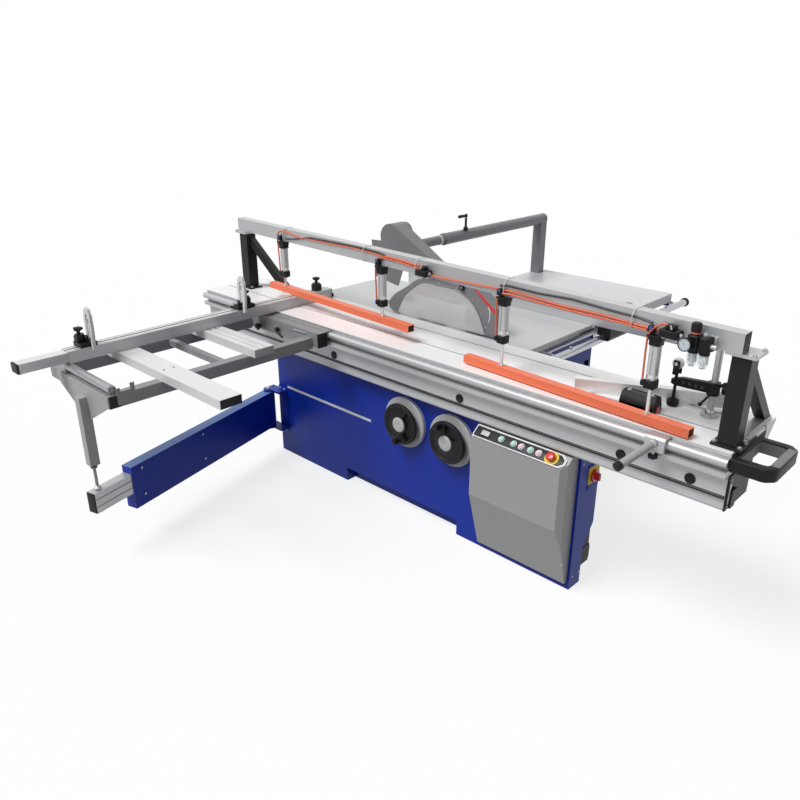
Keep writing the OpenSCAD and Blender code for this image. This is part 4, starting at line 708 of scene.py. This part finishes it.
# fittings: a push-in elbow at each foot, a block at each head, with blue release rings
elbowSpots = [onBeam(x - 27, -39, 0) for x in air["x"]]
spread(block("elbow", (-4, -6, 1048), (8, 6, 1060), 2.2, 3), "elbowBody", elbowSpots, black, "carriage")
spread(turned("stem", [(7, 1052), (7, 1066), (6.2, 1067.4), (1, 1067.4)], 28), "elbowStem", elbowSpots, black,
    "carriage")
blueRing = makeFinish("blueRelease", (48, 92, 190), rough=0.35, mottle=0.05)
spread(turned("ring", [(5.8, 1067), (5.8, 1070), (5, 1071), (1, 1071)], 24), "elbowRing", elbowSpots, blueRing,
    "carriage")
headSpots = [onBeam(x - 18, -35, 0) for x in air["x"]]
head = block("headBlock", (-12, -10, 1243), (12, 10, 1269), 2.5, 3)
pressIn(head, lambda c, n: n.y < -0.9 and abs(c.x) < 8, 4, -1.5)
spread(head, "headBlock", headSpots, black, "carriage")
headRing = [m @ at(0, -8, 1262, (0, -1, 0)) for m in headSpots]
spread(turned("ring", [(6.4, 0), (6.4, 3), (5.4, 4), (1, 4)], 24), "headRing", headRing, blueRing, "carriage")

valve = {"x": (172, 1366), "face": -25}
valveSpots = [onBeam(x, valve["face"], 0) for x in valve["x"]]
body = block("valve", (-34, -44, 1247), (34, 0, 1275), 3, 3)
pressIn(body, lambda c, n: n.y < -0.9, 5, -2)
bodies = spread(body, "valveBody", valveSpots, black, "carriage")
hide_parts("air_unit")
spread(block("coil", (-16, -36, 1274), (16, -8, 1291), 3, 3), "valveCoil", valveSpots, black, "carriage")
spread(tube("lever", rounded([(0, -30, 1285), (4, -38, 1292), (22, -66, 1291)], 6), 3.2), "valveLever", valveSpots,
    steel, "carriage")
ends = [m @ at(sign * 34, -22, 1261, (sign, 0, 0)) for m in valveSpots for sign in (-1, 1)]
spread(turned("valveEnd", [(9, -1), (9, 3), (7.4, 3.4), (7.4, 7), (6.2, 8), (1, 8)], 6), "valveEnd", ends, steel,
    "carriage")
feet = [m @ at(sign * 24, -22, 1240) for m in valveSpots for sign in (-1, 1)]
spread(turned("valveFoot", [(8, 0), (8, 6.5), (6, 8), (1, 8)], 24), "valveFoot", feet, steel, "carriage")

dress(block("unitPlate", (1428, -39, 1241), (1520, -25, 1279), 1.5), steel, "carriage", beamBase)
bowlSpots = [onBeam(x, -58, 0) for x in (1457, 1496)]
housing = block("housing", (-18, -19, 1231), (18, 20, 1283), 4, 3)
pressIn(housing, lambda c, n: n.y < -0.9 and abs(c.x) < 12, 5, -1.5)
spread(housing, "filterHousing", bowlSpots, black, "carriage")
spread(turned("bowl", [(6, 1172), (10, 1174), (11, 1180), (15, 1184), (16.6, 1190), (17, 1222), (17, 1231), (1, 1231)],
    40), "filterBowl", bowlSpots, clearPlastic, "carriage")
spread(turned("cone", [(2, 1173.5), (5, 1176), (5.5, 1188), (10, 1193), (10, 1216), (7, 1220), (1, 1220)], 28),
    "filterCone", bowlSpots, white, "carriage")
spread(turned("bowlRing", [(17.8, 1221), (17.8, 1231), (16, 1231.4), (1, 1231.4)], 40), "bowlRing", bowlSpots, black,
    "carriage")
knob = lobed(turned("regulatorKnob", [(14, 1282), (14, 1290), (16.5, 1292), (17, 1296), (17, 1316), (15.6, 1321),
    (12, 1323), (1, 1323)], 72), 24, 0.05, 13)
dress(knob, black, "carriage", bowlSpots[0])
dress(turned("knobRing", [(15.6, 1286), (15.6, 1291), (14, 1291.6), (1, 1291.6)], 40), orangeHose, "carriage",
    bowlSpots[0], slot="orange")
dress(turned("lubricatorCap", [(10, 1282), (11, 1284), (11, 1296), (9, 1299), (1, 1299)], 32), clearPlastic, "carriage",
    bowlSpots[1])

gauge = onBeam(1446, -75, 1254, (0, -1, 0))
dressAll("carriage",
    (turned("gaugeStem", [(6, 0), (6, 13), (9, 13.4), (1, 13.4)], 24), steel, gauge),
    (turned("gaugeCase", [(20, 12), (22, 13.4), (22, 27), (23, 28), (23, 31.4), (21.6, 32), (20.6, 31.4), (20.2, 29),
        (1, 29)], 48), black, gauge),
    (turned("gaugeFace", [(20, 28.6), (20, 29.4), (1, 29.4)], 48), white, gauge))
marks = []
for step in range(11):
    turn = math.radians(220 - step * 26)
    mark = box("mark", (13.6, -0.35, 29.3), (17.8, 0.35, 29.8))
    mark.data.transform(Matrix.Rotation(turn, 4, "Z"))
    marks.append(mark)
clearSelection()
for mark in marks:
    mark.select_set(True)
bpy.context.view_layer.objects.active = marks[0]
bpy.ops.object.join()
dress(softened(marks[0], 0.08, 1), black, "carriage", gauge)
marks[0].name = "gaugeMarks"
needle = slab("gaugeNeedle", [(-4, -1), (14, -0.3), (14, 0.3), (-4, 1)], 0.6, 30)
needle.data.transform(Matrix.Rotation(math.radians(128), 4, "Z"))
dressAll("carriage",
    (needle, red, gauge),
    (turned("gaugeLens", [(20, 30.8), (18, 31.2), (1, 31.6)], 48), clearPlastic, gauge))
outlet = turned("airInlet", [(9, 0), (9, 9), (7.6, 10), (7.6, 14), (8.8, 15), (8.8, 19), (7, 21), (1, 21)], 28)
dress(outlet, steel, "carriage", onBeam(1513, -58, 1253, (1, 0, 0)))

hoseY = -29.3
hose = {"radius": 4, "corner": 16, "orange": 5}
hoseRoutes = [
    [(-982, -39, 1069), (-982, -40, 1110), (-983, -42, 1180), (-988, -42, 1240), (-986, -40, 1280), (-965, -33, 1297),
     (-930, hoseY, 1294), (-800, hoseY, 1280), (-560, hoseY, 1284), (-330, hoseY, 1292), (-150, hoseY, 1288),
     (0, hoseY, 1287), (80, hoseY, 1282), (128, hoseY, 1282), (156, hoseY, 1282)],
    [(-160, -39, 1069), (-161, -40, 1130), (-163, -42, 1200), (-162, -40, 1255), (-150, -36, 1278), (-120, hoseY, 1279),
     (0, hoseY, 1277), (90, hoseY, 1270), (138, hoseY, 1269)],
    [(206, hoseY - 3, 1253), (260, hoseY - 3, 1252), (400, hoseY, 1256), (540, hoseY, 1262), (700, hoseY, 1268),
     (900, hoseY, 1258), (1100, hoseY, 1262), (1240, hoseY, 1256), (1332, hoseY, 1255)],
    [(598, -39, 1069), (597, -41, 1120), (597, -43, 1190), (600, -43, 1230), (612, -40, 1252), (650, hoseY, 1253),
     (800, hoseY, 1250), (1000, hoseY, 1248), (1180, hoseY, 1250), (1240, hoseY, 1246), (1270, -34, 1248)],
    [(1281, -39, 1069), (1280, -40, 1120), (1280, -42, 1190), (1282, -44, 1238), (1296, -42, 1262), (1325, -36, 1284),
     (1350, -36, 1283)],
    [(-929, hoseY, 1256), (-860, hoseY, 1262), (-700, hoseY, 1292), (-560, hoseY, 1296), (-300, hoseY, 1301),
     (-160, hoseY, 1298), (-110, hoseY, 1291)],
    [(600, hoseY, 1280), (640, hoseY, 1286), (800, hoseY, 1284), (950, hoseY, 1292), (1130, hoseY, 1284),
     (1230, hoseY, 1283), (1285, hoseY, 1276)]]
for number, route in enumerate(hoseRoutes):
    look, label = (orangeHose, "orangeHose") if number < hose["orange"] else (blackHose, "blackHose")
    piece = tube(label + str(number + 1), rounded(route, hose["corner"]), hose["radius"], 4)
    dress(piece, look, "carriage", beamBase, stands=("air_hoses",) if number == 0 else (), smooth=60)

tie = {"x": (-938, -260, 110, 628, 1212), "thick": 2}
for number, x in enumerate(tie["x"]):
    loop = [(x, 0, 1238), (x, -24, 1238), (x - 2, -31, 1244), (x - 3, -38, 1258), (x - 2, -38, 1290), (x, -31, 1303),
        (x, -24, 1310), (x, 24, 1310), (x, 26.4, 1308), (x, 26.4, 1240), (x, 24, 1238), (x, 0.2, 1238)]
    piece = tube("cableTie" + str(number + 1), rounded(loop, 5, 3), tie["thick"], 1)
    dress(piece, white, "carriage", beamBase)
    dress(block("tieLock" + str(number + 1), (x - 3, 26.6, 1268), (x + 3, 30, 1276), 0.8), white, "carriage", beamBase)
print("air system")

bar = {"left": ("bar_left", 957, (-1090, 70)), "right": ("bar_right", 907, (427, 1481)), "wide": 40, "high": 33,
    "wall": 2.4, "set": 4}
for side, (body, low, ends) in (("left", bar["left"]), ("right", bar["right"])):
    for number, (x, inward) in enumerate(zip(ends, (1, -1))):
        near, on = x + inward * bar["set"], x + inward * (bar["set"] + 8)
        y, z = air["y"], low + bar["high"] / 2
        reach, rise = bar["wide"] / 2 - bar["wall"], bar["high"] / 2 - bar["wall"]
        plug = block(side + "BarPlug" + str(number + 1), (min(near, on), y - reach, z - rise),
            (max(near, on), y + reach, z + rise), 1)
        dress(plug, black, body, beamBase)
for side, xs in (("left", air["x"][:2]), ("right", air["x"][2:])):
    body, low, ends = bar[side]
    seats = [onBeam(x, air["y"], low + bar["high"]) for x in xs]
    nutRings = [(13, 0), (13, 0.8), (12, 1.2), (12, 1.4), (10.6, 1.5), (10.6, 4.8), (9.6, 5.6), (1, 5.6)]
    spread(turned("rodNut", nutRings, 6), side + "RodNut", seats, steel, body)

# a cap screw with its washer, used wherever two parts are bolted
boltRings = [(9, 0), (9, 1.4), (6.4, 1.5), (6.4, 5.6), (5.6, 6.6), (3.4, 6.6), (3.2, 4), (0.6, 4)]
smallRings = [(x * 0.62, z * 0.62) for x, z in boltRings]


def bolted(stem, spots, body, rings=boltRings):
    spread(turned(stem, rings, 20), stem, spots, steel, body)


# bolts at the corners of each post's two plates
posts = ((-1365, -239), (1592.5, -395.5))
for stem, z, dx, dy in (("postTopBolt", 1239, 42, 42), ("postFootBolt", 910, 43, 26)):
    corners = [at(x + i * dx, y + j * dy, z) for x, y in posts for i in (-1, 1) for j in (-1, 1)]
    bolted(stem, corners, "carriage")
bolted("footBarBolt", [at(1596.5, y, 915) for y in (-330, -98)], "carriage")

grab = [(1379, -501, 877), (1350, -614, 845), (1336, -668, 830)]
profile = [(-508, 840), (-492, 840), (-492, 886), (-462, 886), (-462, 897), (-500, 897), (-508, 889)]
lying = Matrix(((0, 0, 1, 0), (1, 0, 0, 0), (0, 1, 0, 0), (0, 0, 0, 1)))  # an outline in Y and Z, drawn along X
dress(softened(slab("grabClamp", profile, 76), 2), aluminium, "grip", at(1341, 0, 0) @ lying, stands=("grab_handle",))
dress(tube("grabTube", grab, 15, 6), greyPaint, "grip")
tip = Vector(grab[-1])
lean = (tip - Vector(grab[0])).normalized()
capSpot = at(*(tip - lean * 6), tuple(lean))
dressAll("grip",
    (turned("grabCap", [(17, 0), (17, 16), (16.4, 19), (14, 21.4), (9, 22.6), (0.6, 23)], 36), black, capSpot),
    (turned("grabRing", [(17, 0), (17.6, 1), (17.6, 12), (17, 13), (1, 13)], 36), aluminium,
        at(*(Vector(grab[0]) + lean * 8), tuple(lean))))
knobRings = [(8, 0), (8, 3), (17, 5), (19, 8), (19, 16), (17, 18.4), (8, 19), (0.6, 19)]
dressAll("grip",
    (lobed(turned("grabKnob", knobRings, 60), 6, 0.2, 10), black, at(1379, -505, 811)),
    (turned("grabStud", [(6, 826), (6, 845), (1, 845)], 24), steel, at(1379, -505, 0)))

pushSpot, pushThick = at(1627, -475, 840), 50
outer = [(0, 0), (108, 0), (122, 4), (144, 26), (148, 40), (148, 210), (144, 224), (122, 246), (108, 250), (0, 250)]
inner = [(26, 34), (100, 34), (110, 38), (115, 46), (116, 56), (116, 194), (115, 204), (110, 212), (100, 216),
    (26, 216)]
frameBar = slab("pushFrame", outer, pushThick)
hollow = slab("hollow", inner, pushThick + 20, -10)
dress(softened(cutOut(frameBar, hollow), 6, 3), black, "carriage", pushSpot, stands=("push_handle",))
lining = slab("pushLining", [(71 + (x - 71) * 0.985, 125 + (y - 125) * 0.992) for x, y in inner], pushThick - 12, 6)
hollow = slab("hollow", [(71 + (x - 71) * 0.93, 125 + (y - 125) * 0.965) for x, y in inner], pushThick + 20, -10)
cutOut(lining, hollow)
lining.data.transform(Matrix.Translation((-71 * unit, -125 * unit, 0)))
lining.data.transform(Matrix.Diagonal((1.02, 1.012, 1, 1)))
lining.data.transform(Matrix.Translation((71 * unit, 125 * unit, 0)))
dress(softened(lining, 0.6, 1), gripGrey, "carriage", pushSpot)
pad = slab("pushPad", [(117, 40), (143, 40), (146, 46), (146, 204), (143, 210), (117, 210)], 3, pushThick - 0.8)
dress(softened(pad, 1, 2), gripGrey, "carriage", pushSpot)

outline = [(-349, 900), (-276, 900), (-276, 924), (-280, 934), (-292, 957), (-297, 960), (-328, 960), (-333, 957),
    (-345, 934), (-349, 924)]
housing = slab("edgingShoe", outline, 138)
pressIn(housing, lambda c, n: n.y > 0.6 and abs(c.z - 69) < 30, 8, -2)
dress(softened(housing, 3, 3), black, "carriage", at(1149, 0, 0) @ lying)
bolted("shoeBolt", [at(x, -312.5, 960) for x in (1170, 1262)], "carriage")
dressAll("carriage",
    (block("shoeTip", (1286, -324, 904), (1293, -301, 924), 3, 3), red),
    (block("shoeKnife", (1140, -322, 902), (1150, -303, 946), 1), steel))

# star knobs stand on a stem over a block: pivot of the fence, the two stops and the mitre fence
starRings = [(6, 0), (8, 2), (8.4, 14), (12, 17), (19, 19), (21.5, 22), (21.5, 28), (19.5, 31.4), (12, 33), (7, 33),
    (6.4, 32), (0.6, 32)]
star = lobed(turned("starKnob", starRings, 70), 5, 0.26, 10)
foot = softened(slab("knobFoot", [(-20, -17), (20, -17), (20, 17), (-20, 17)], 24), 4.5, 3)
pressIn(foot, lambda c, n: n.z > 0.9, 5, 3)
softened(foot, 1.2)
mitreSpot = at(948, -339, 0, spin=25.5)
knobs = [("pivot", "carriage", at(-855, -154, 997)), ("mitre", "carriage", mitreSpot @ at(562, 17, 962)),
    ("outerStop", "stop_outer", at(-869, -1522, 1008)), ("innerStop", "stop_inner", at(-869, -626, 1008))]
for label, body, spot in knobs:
    dress(copied(star, label + "Knob"), black, body, spot)
dress(block("pivotKnobBase", (-877, -176, 955.4), (-833, -132, 992), 5, 3), black, "carriage")
for label, body, low in (("outerStop", "stop_outer", -1540), ("innerStop", "stop_inner", -645)):
    seat = block(label + "Base", (-890, low, 975.4), (-848, low + 38, 1003), 5, 3)
    pressIn(seat, lambda c, n: n.z > 0.9, 4, 3)
    dress(softened(seat, 0.8), black, body)
dress(copied(foot, "mitreKnobFoot"), black, "carriage", mitreSpot @ at(562, 17, 954))
bpy.data.objects.remove(star)
bpy.data.objects.remove(foot)
smallStar = [(10, 0), (12, 2), (12, 9), (18, 11), (20, 14), (20, 21.6), (18, 25), (11, 27), (7.4, 27), (6.8, 26.2),
    (0.6, 26.2)]

hold = {"x": 1441, "y": -205, "reach": 144}
column = at(hold["x"], hold["y"], 0)
wheelSpot = at(hold["x"] - hold["reach"], hold["y"], 1072, (0, -1, 0))
dress(turned("columnFoot", [(32, 900), (32, 908), (30, 911), (18, 912), (17, 926), (14.5, 929), (13, 929)], 40), chrome,
    "carriage", column)
bolted("columnBolt", [at(hold["x"] + 24 * math.cos(a), hold["y"] + 24 * math.sin(a), 910.6) for a in (0.8, 2.9, 5)],
    "carriage", smallRings)
dress(turned("columnCap", [(12.5, 1170), (13.4, 1171), (13.4, 1178), (11, 1181), (1, 1181)], 32), black, "carriage",
    column)
tread = [(19, -8), (21.6, -6), (22, -4), (22, 4), (21.6, 6), (19, 8), (12, 8.6), (11, 7), (1, 7)]
dress(lobed(turned("holdWheel", tread, 96), 32, 0.04, 20), white, "hold_down", wheelSpot)
for number, y in enumerate((-221, -194)):
    fork = block("holdFork" + str(number + 1), (1285, y, 1028), (1309, y + 5, 1086), 2, 3)
    dress(fork, nearBlack, "hold_down")
dressAll("hold_down",
    (turned("holdAxle", [(6, -20), (7, -19), (7, 19), (6, 20), (1, 20)], 24), steel, wheelSpot),
    (turned("holdFoot", [(19, 903), (21, 905), (23, 911), (20, 918), (11, 928), (8, 934), (1, 934)], 40), rubber,
        at(hold["x"] - hold["reach"], hold["y"], 0)))
leverHub = turned("holdLeverHub", [(9, 0), (10, 1), (10, 9), (8, 12), (1, 12)], 28)
dress(leverHub, black, "hold_down", at(hold["x"] + 6, hold["y"] - 21, 1008, (0, -1, 0)))
leverBar = tube("holdLever", rounded([(1447, -229, 1008), (1446, -236, 1002), (1432, -252, 976), (1424, -262, 962)], 6),
    4.4, 4)
dressAll("hold_down",
    (leverBar, black),
    (turned("leverBall", [(3, 0), (6, 2), (7.6, 5.4), (8, 9), (7, 13), (4.6, 15.4), (0.6, 16.6)], 28), black,
        at(1426, -259, 966, (-0.42, -0.5, -0.75))))
print("fittings on the sliding table")

guard = {"x": -350, "z": 1240, "face": -35, "rail": (600, 845), "lever": (-330, 520, 1352)}

# hood trim on its near face: red edge, pale slot, window screws, latch
edge = slab("guardStripe", [(186, 1125), (197, 1127.5), (314.6, 1044), (315, 1026), (303, 1029)], 1.6)
faceOn = at(0, guard["face"], 0) @ Matrix.Rotation(math.radians(90), 4, "X")
dress(softened(edge, 0.5), red, "hood", faceOn)
arcAngles = [math.radians(turn) for turn in range(62, 132, 7)]
arcPoints = [(212 + 74 * math.sin(angle), 1012 - 74 * math.cos(angle), 0.4) for angle in arcAngles]
dress(tube("guardSlot", arcPoints, 3, 2), white, "hood", faceOn)
screwSpots = [(-322, 925), (-292, 1000), (-228, 1068), (-160, 1114), (-40, 1114), (76, 1114), (176, 1070), (232, 1010),
    (262, 950), (270, 916)]
bolted("windowScrew", [faceOn @ at(x, z, 0.2) for x, z in screwSpots], "hood",
    [(x * 0.5, z * 0.5) for x, z in boltRings])
windowEdge = [(-334, 908), (-315, 950), (-276, 1018), (-215, 1068), (-156, 1106), (75, 1107), (166, 1064), (218, 1008),
    (245, 950), (262, 908)]
bead = tube("windowBead", rounded([(x, z, 0.4) for x, z in windowEdge], 30), 3.6, 3)
dress(bead, deepGrey, "hood", faceOn, smooth=50)
dress(block("guardLatch", (98, 1108, 0), (126, 1132, 12), 3, 3), black, "hood", faceOn)
bolted("latchBolt", [faceOn @ at(112, 1120, 12)], "hood", smallRings)

# sleeve ends, arm rings and the clamp lever over the sleeve
ring = turned("ring", [(31, -1), (33, 0), (33.4, 3), (33.4, 13), (33, 16), (31.5, 17), (27, 17)], 48)
sleeveEnds = [at(guard["x"], y, guard["z"], (0, way, 0)) for y, way in ((348, 1), (1330, -1))]
spread(ring, "sleeveRing", sleeveEnds, deepGrey, "machine")
cap = turned("sleeveCap", [(29, 0), (31, 1), (30, 4), (24, 6.5), (12, 8), (1, 8.2)], 48)
dress(cap, black, "machine", at(guard["x"], 1330, guard["z"], (0, 1, 0)))
dress(turned("armRing", [(25.4, 0), (27, 1), (27, 14), (25.4, 15), (24, 15)], 48), steel, "guard_arm",
    at(guard["x"], 308, guard["z"], (0, 1, 0)))
boss = turned("leverBoss", [(12, 1270), (14, 1272), (14, 1284), (12, 1288), (8, 1290), (6.6, 1296), (6.6, 1334),
    (8, 1338), (1, 1338)], 32)
x, y, z = guard["lever"]
dress(boss, black, "machine", at(x, y, 0))
handle = turned("leverGrip", [(6, 0), (7.4, 3), (8.4, 20), (9, 44), (8.4, 52), (6, 57), (0.8, 58.6)], 32)
dressAll("machine",
    (handle, black, at(x, y - 8, z, (0, -1, 0))),
    (turned("leverHead", [(7, 0), (9, 2), (9.4, 10), (8, 15), (4, 18), (0.8, 18.6)], 32), black, at(x, y, z - 8)))
collarRings = [(52, 0), (53, 1), (53, 12), (51.4, 13.4), (50.6, 13.4)]
dress(turned("spigotBand", collarRings, 64), deepGrey, "hood", at(-387, 48, 1315, (0, 1, 0)))

# rail end, saddle knobs, bolts and end caps of the rip fence
x, z = guard["rail"]
dress(turned("railCap", [(24.6, 0), (25.6, 1), (25.6, 12), (24, 14), (18, 15), (1, 15)], 48), black, "machine",
    at(x, 1438.5, z, (0, 1, 0)))
roundKnob = [(8, 0), (11, 2), (16, 5), (25, 8), (27, 12), (27, 21), (24.6, 25.4), (16, 27), (8, 27.6), (0.8, 27.6)]
for label, spot in (("saddleKnob", at(632, 662, 970)), ("fineKnob", at(397, 676, 971))):
    knob = lobed(turned(label, roundKnob, 72), 8, 0.09, 20)
    dress(knob, black, "rip", spot)
bolted("ripBolt", [at(x, y, 989.5) for x, y in ((585, 566), (620, 566))], "rip")
for number, x in enumerate((-750, 1150)):
    low, high = sorted((x, x + (number * 2 - 1) * 4))
    dress(block("ripCap" + str(number + 1), (low, 502, 902), (high, 545, 988), 1), black, "rip")
print("guard and rip fence")

# closed ends of the outrigger's tubes and slats
ends = [("tubeEnd", (-440, -1624, 806), (-428, -1576, 859)), ("tubeEndFar", (-991.6, -1624, 806), (-984, -1576, 859)),
    ("slatEnd", (4, -1381, 861), (12.5, -1281, 899)), ("slatEndFar", (-1012.5, -1381, 861), (-1005, -1281, 899)),
    ("innerEnd", (-388, -552, 816), (-378, -493, 889))]
for label, low, high in ends:
    dress(block(label, low, high, 2), black, "carriage")
for label, x in (("grooveSlatEnd", -388), ("grooveSlatEndFar", -992)):
    dress(block(label, (x, -929, 861), (x + 5, -821, 899), 1.2), greyPaint, "carriage")

# bolts through the brackets that hold the slats, and the gusset and clamps on the inner member
bolted("slatBolt", [at(x, y, 900) for x, y in ((-965, -1355), (-965, -1307), (-455, -1355), (-455, -1307))], "carriage",
    [(x * 0.7, z * 0.5) for x, z in boltRings])
gusset = slab("innerGusset", [(0, 0), (96, 0), (96, -14), (14, -96), (0, -96)], 5)
dress(softened(gusset, 1), greyPaint, "carriage", at(-480, -553, 872, spin=180))
clampStar = lobed(turned("clampStar", smallStar, 60), 5, 0.24, 12)
dress(clampStar, black, "carriage", at(-858, -553, 834, (0, -1, 0)))
railLever = tube("railLever", rounded([(-702, -556, 848), (-702, -572, 848), (-676, -580, 842), (-628, -584, 826)], 8),
    5.4, 4)
dressAll("carriage",
    (railLever, black),
    (turned("railLeverHub", [(11, 0), (12, 1.4), (12, 14), (9, 17), (1, 17)], 32), black,
        at(-702, -553, 848, (0, -1, 0))))

roller = {"y": -1598, "z": 880.2, "ends": (-850, -449)}
bearing = [(17.8, 0), (18.4, 0.6), (17.6, 1.4), (14, 1.6), (13.4, 0.8), (8.6, 0.8), (8, 2.2), (5.4, 2.4), (5, 4),
    (1, 4)]
seats = [at(x, roller["y"], roller["z"], (way, 0, 0)) for x, way in zip(roller["ends"], (-1, 1))]
spread(turned("bearing", bearing, 40), "rollerBearing", seats, steel, "roller")

# the crosscut fence: end cap, grooves' strip, stop bases' screws and the tongue's cap
dress(block("tongueCap", (-888, -1821, 907), (-822, -1811, 950), 2.4, 3), black, "extension")
for number, (x, half, z) in enumerate(((-880, 1.8, 954.9), (-855, 5.4, 952), (-830, 1.8, 954.9))):
    line = block("fenceLine" + str(number + 1), (x - half, -1598, z - 0.4), (x + half, -190, z + 0.3), 0.2, 1)
    dress(line, nearBlack, "crosscut")
webEdge = [(-5, 2), (-9, 80), (2, 117), (18, 132), (36, 125), (47, 103), (48, 40), (36, -4)]
for body, stopBody, y in (("flap_outer", "stop_outer", -1490), ("flap_inner", "stop_inner", -680)):
    hole = turned("hollow", [(14, -9), (14, 9)], 40)
    hole.data.transform(Matrix.Translation((0.021, 0.072, 0)))
    web = cutOut(slab(body + "Web", webEdge, 4, -2), hole)
    dress(softened(web, 0.6, 1), white, body, at(-839, y, 997, (0, -1, 0)))
    boss = turned(stopBody + "Boss", [(13, 0), (14, 1), (14, 9), (12, 10.4), (6, 10.6), (5.4, 8), (1, 8)], 36)
    dress(boss, steel, stopBody, at(-869, y + (26 if y < -1000 else -26), 977))
for body, y in (("stop_outer", -1490), ("stop_inner", -680)):
    bolted(body + "Pin", [at(-839, y + way * 12, 997, (0, way, 0)) for way in (-1, 1)], body, smallRings)
    dress(block(body + "Cover", (-889, y - 20, 975), (-869, y + 20, 977.4), 0.8), aluminium, body)

endCap = box("fenceEndCap", (-889, -77, 902), (-821, -71, 954))
pressIn(endCap, lambda c, n: n.y > 0.9, 5, -1.5)
dressAll("crosscut",
    (softened(endCap, 1.2), nearBlack),
    (block("fenceBuffer", (-838, -72, 906), (-818, -58, 926), 2.4, 3), rubber))
bolted("innerMemberScrew", [at(x, -522, 889) for x in (-930, -700, -470)], "carriage",
    [(x * 0.55, z * 0.4) for x, z in boltRings])

# leg: foot sleeve and the pad at its lower end
leg = at(-656, -1642, 0)
dressAll("carriage",
    (turned("legCollar", [(16, 470), (17.4, 472), (17.4, 486), (15, 490), (1, 490)], 32), black, leg),
    (turned("legFoot", [(9, 354), (15, 355), (16, 358), (16, 364), (12, 368), (8, 372), (1, 372)], 32), steel, leg))

# swing arm: cap screws on both cheeks, hinge caps and the slider's end
armBase = at(-985, -440, 0, spin=-74.69)


def onArm(*spot):
    return at(*spot, base=armBase)


cheeks = [onArm(x, side * 32, z, (0, side, 0)) for side in (-1, 1) for x in (597.5, 1015) for z in (223, 363)]
bolted("armScrew", cheeks, "swing_arm", [(x * 0.9, z * 0.6) for x, z in boltRings])
dressAll("swing_arm",
    (turned("hingeCap", [(28, 388), (30, 389), (30, 394), (26, 397), (12, 398), (1, 398)], 40), bluePaint,
        armBase),
    (turned("hingeBarrel", [(32, 182), (33, 183), (33, 385), (32, 386), (1, 386)], 48), bluePaint, armBase))
dress(block("sliderEnd", (1283, -24, 253), (1291, 24, 351), 2, 3), black, "slider", armBase)
for side in (-1, 1):
    for number, z in enumerate((284, 320)):
        low, high = sorted((side * 24.6, side * 25.4))
        line = block("sliderLine" + "AB"[side > 0] + str(number + 1), (60, low, z - 2.4), (1282, high, z + 2.4), 0.3, 1)
        dress(line, deepGrey, "slider", armBase)
print("outrigger and fence")

plug = {"x": (-381, 451, 1233, 1501), "y": -453, "z": 757}
dished = [(18.4, 0), (19, 1), (18.4, 2.4), (15, 3.2), (13.6, 1.6), (1, 1.2)]
spread(turned("plug", dished, 40), "beamPlug", [at(x, plug["y"], plug["z"], (0, -1, 0)) for x in plug["x"]], black,
    "machine")

# ribs of the beam's front face, and the fittings on its end covers
beam = {"x": (-1509, 1626), "face": -450, "ribs": ((800, 3), (724.5, 3.4)), "ends": ((-1516, -1), (1633, 1))}
for number, (z, radius) in enumerate(beam["ribs"]):
    rib = tube("beamRib" + str(number + 1), [(x, beam["face"], z) for x in beam["x"]], radius)
    dress(rib, (aluminium, nearBlack)[number], "machine")
for number, (x, way) in enumerate(beam["ends"]):
    screws = [at(x, y, z, (way, 0, 0)) for y, z in ((-430, 795), (-262, 795), (-430, 690), (-262, 690))]
    bolted("coverScrew" + "AB"[number], screws, "machine", smallRings)
    low, high = sorted((x, x + way * 4))
    dress(block("coverStrip" + str(number + 1), (low, -438, 700), (high, -426, 782), 1), aluminium, "machine")

# rear door: pressed louvres and latch
door = {"face": 618, "louvres": (-400, 0), "rows": (560, 588, 616, 644), "latch": (56, 430)}
start, end = door["louvres"]
louvre = softened(slab("louvre", [(0, 0), (7, 1.5), (7, 4), (0, 16)], end - start), 1.2)
rows = [at(start, door["face"], z) @ lying for z in door["rows"]]
spread(louvre, "doorLouvre", rows, bluePaint, "door")
x, z = door["latch"]
dressAll("door",
    (turned("doorLatch", [(17, 0), (18, 1), (18, 3), (16, 5), (11, 5.4), (10, 3.4), (1, 3.4)], 40), black,
        at(x, door["face"], z, (0, 1, 0))),
    (block("latchWing", (x - 3, door["face"] + 3, z - 9), (x + 3, door["face"] + 10, z + 9), 1.4, 3), black))

# bolts of the swing arm's bracket and of the right side panel
bolted("bracketBolt", [at(x, -385, z, (0, -1, 0)) for x in (-944, -906) for z in (156, 400)], "machine")
bolted("pinNut", [at(-985, -440, 401)], "machine", [(16, 0), (16, 1.6), (12, 1.8), (12, 9), (10.6, 10.4), (1, 10.4)])
bolted("panelScrew", [at(1037, y, z, (1, 0, 0)) for y in (-362, -308) for z in (60, 610)], "machine", smallRings)
bolted("railFoot", [at(600, y, 866.4) for y in (200, 700, 1200)], "machine")

# power inlet with its sprung lid, and the gland of the cable that leaves it
inletLid = box("inletLid", (979, -226, 86), (1029, -214, 150))
pressIn(inletLid, lambda c, n: n.y > 0.9, 6, 3)
dressAll("machine",
    (softened(inletLid, 3, 3), black),
    (turned("inletNut", [(20, 167), (21, 168), (21, 178), (19, 181), (16, 181.6), (1, 181.6)], 12), black,
        at(1005, -248, 0)))
bolted("inletScrew", [at(x, -228, z, (0, 1, 0)) for x, z in ((983, 160), (1025, 160))], "machine", smallRings)
dress(block("inletHousing", (976, -290, 170), (1032, -230, 240), 4, 3), black, "machine")
print("cabinet")
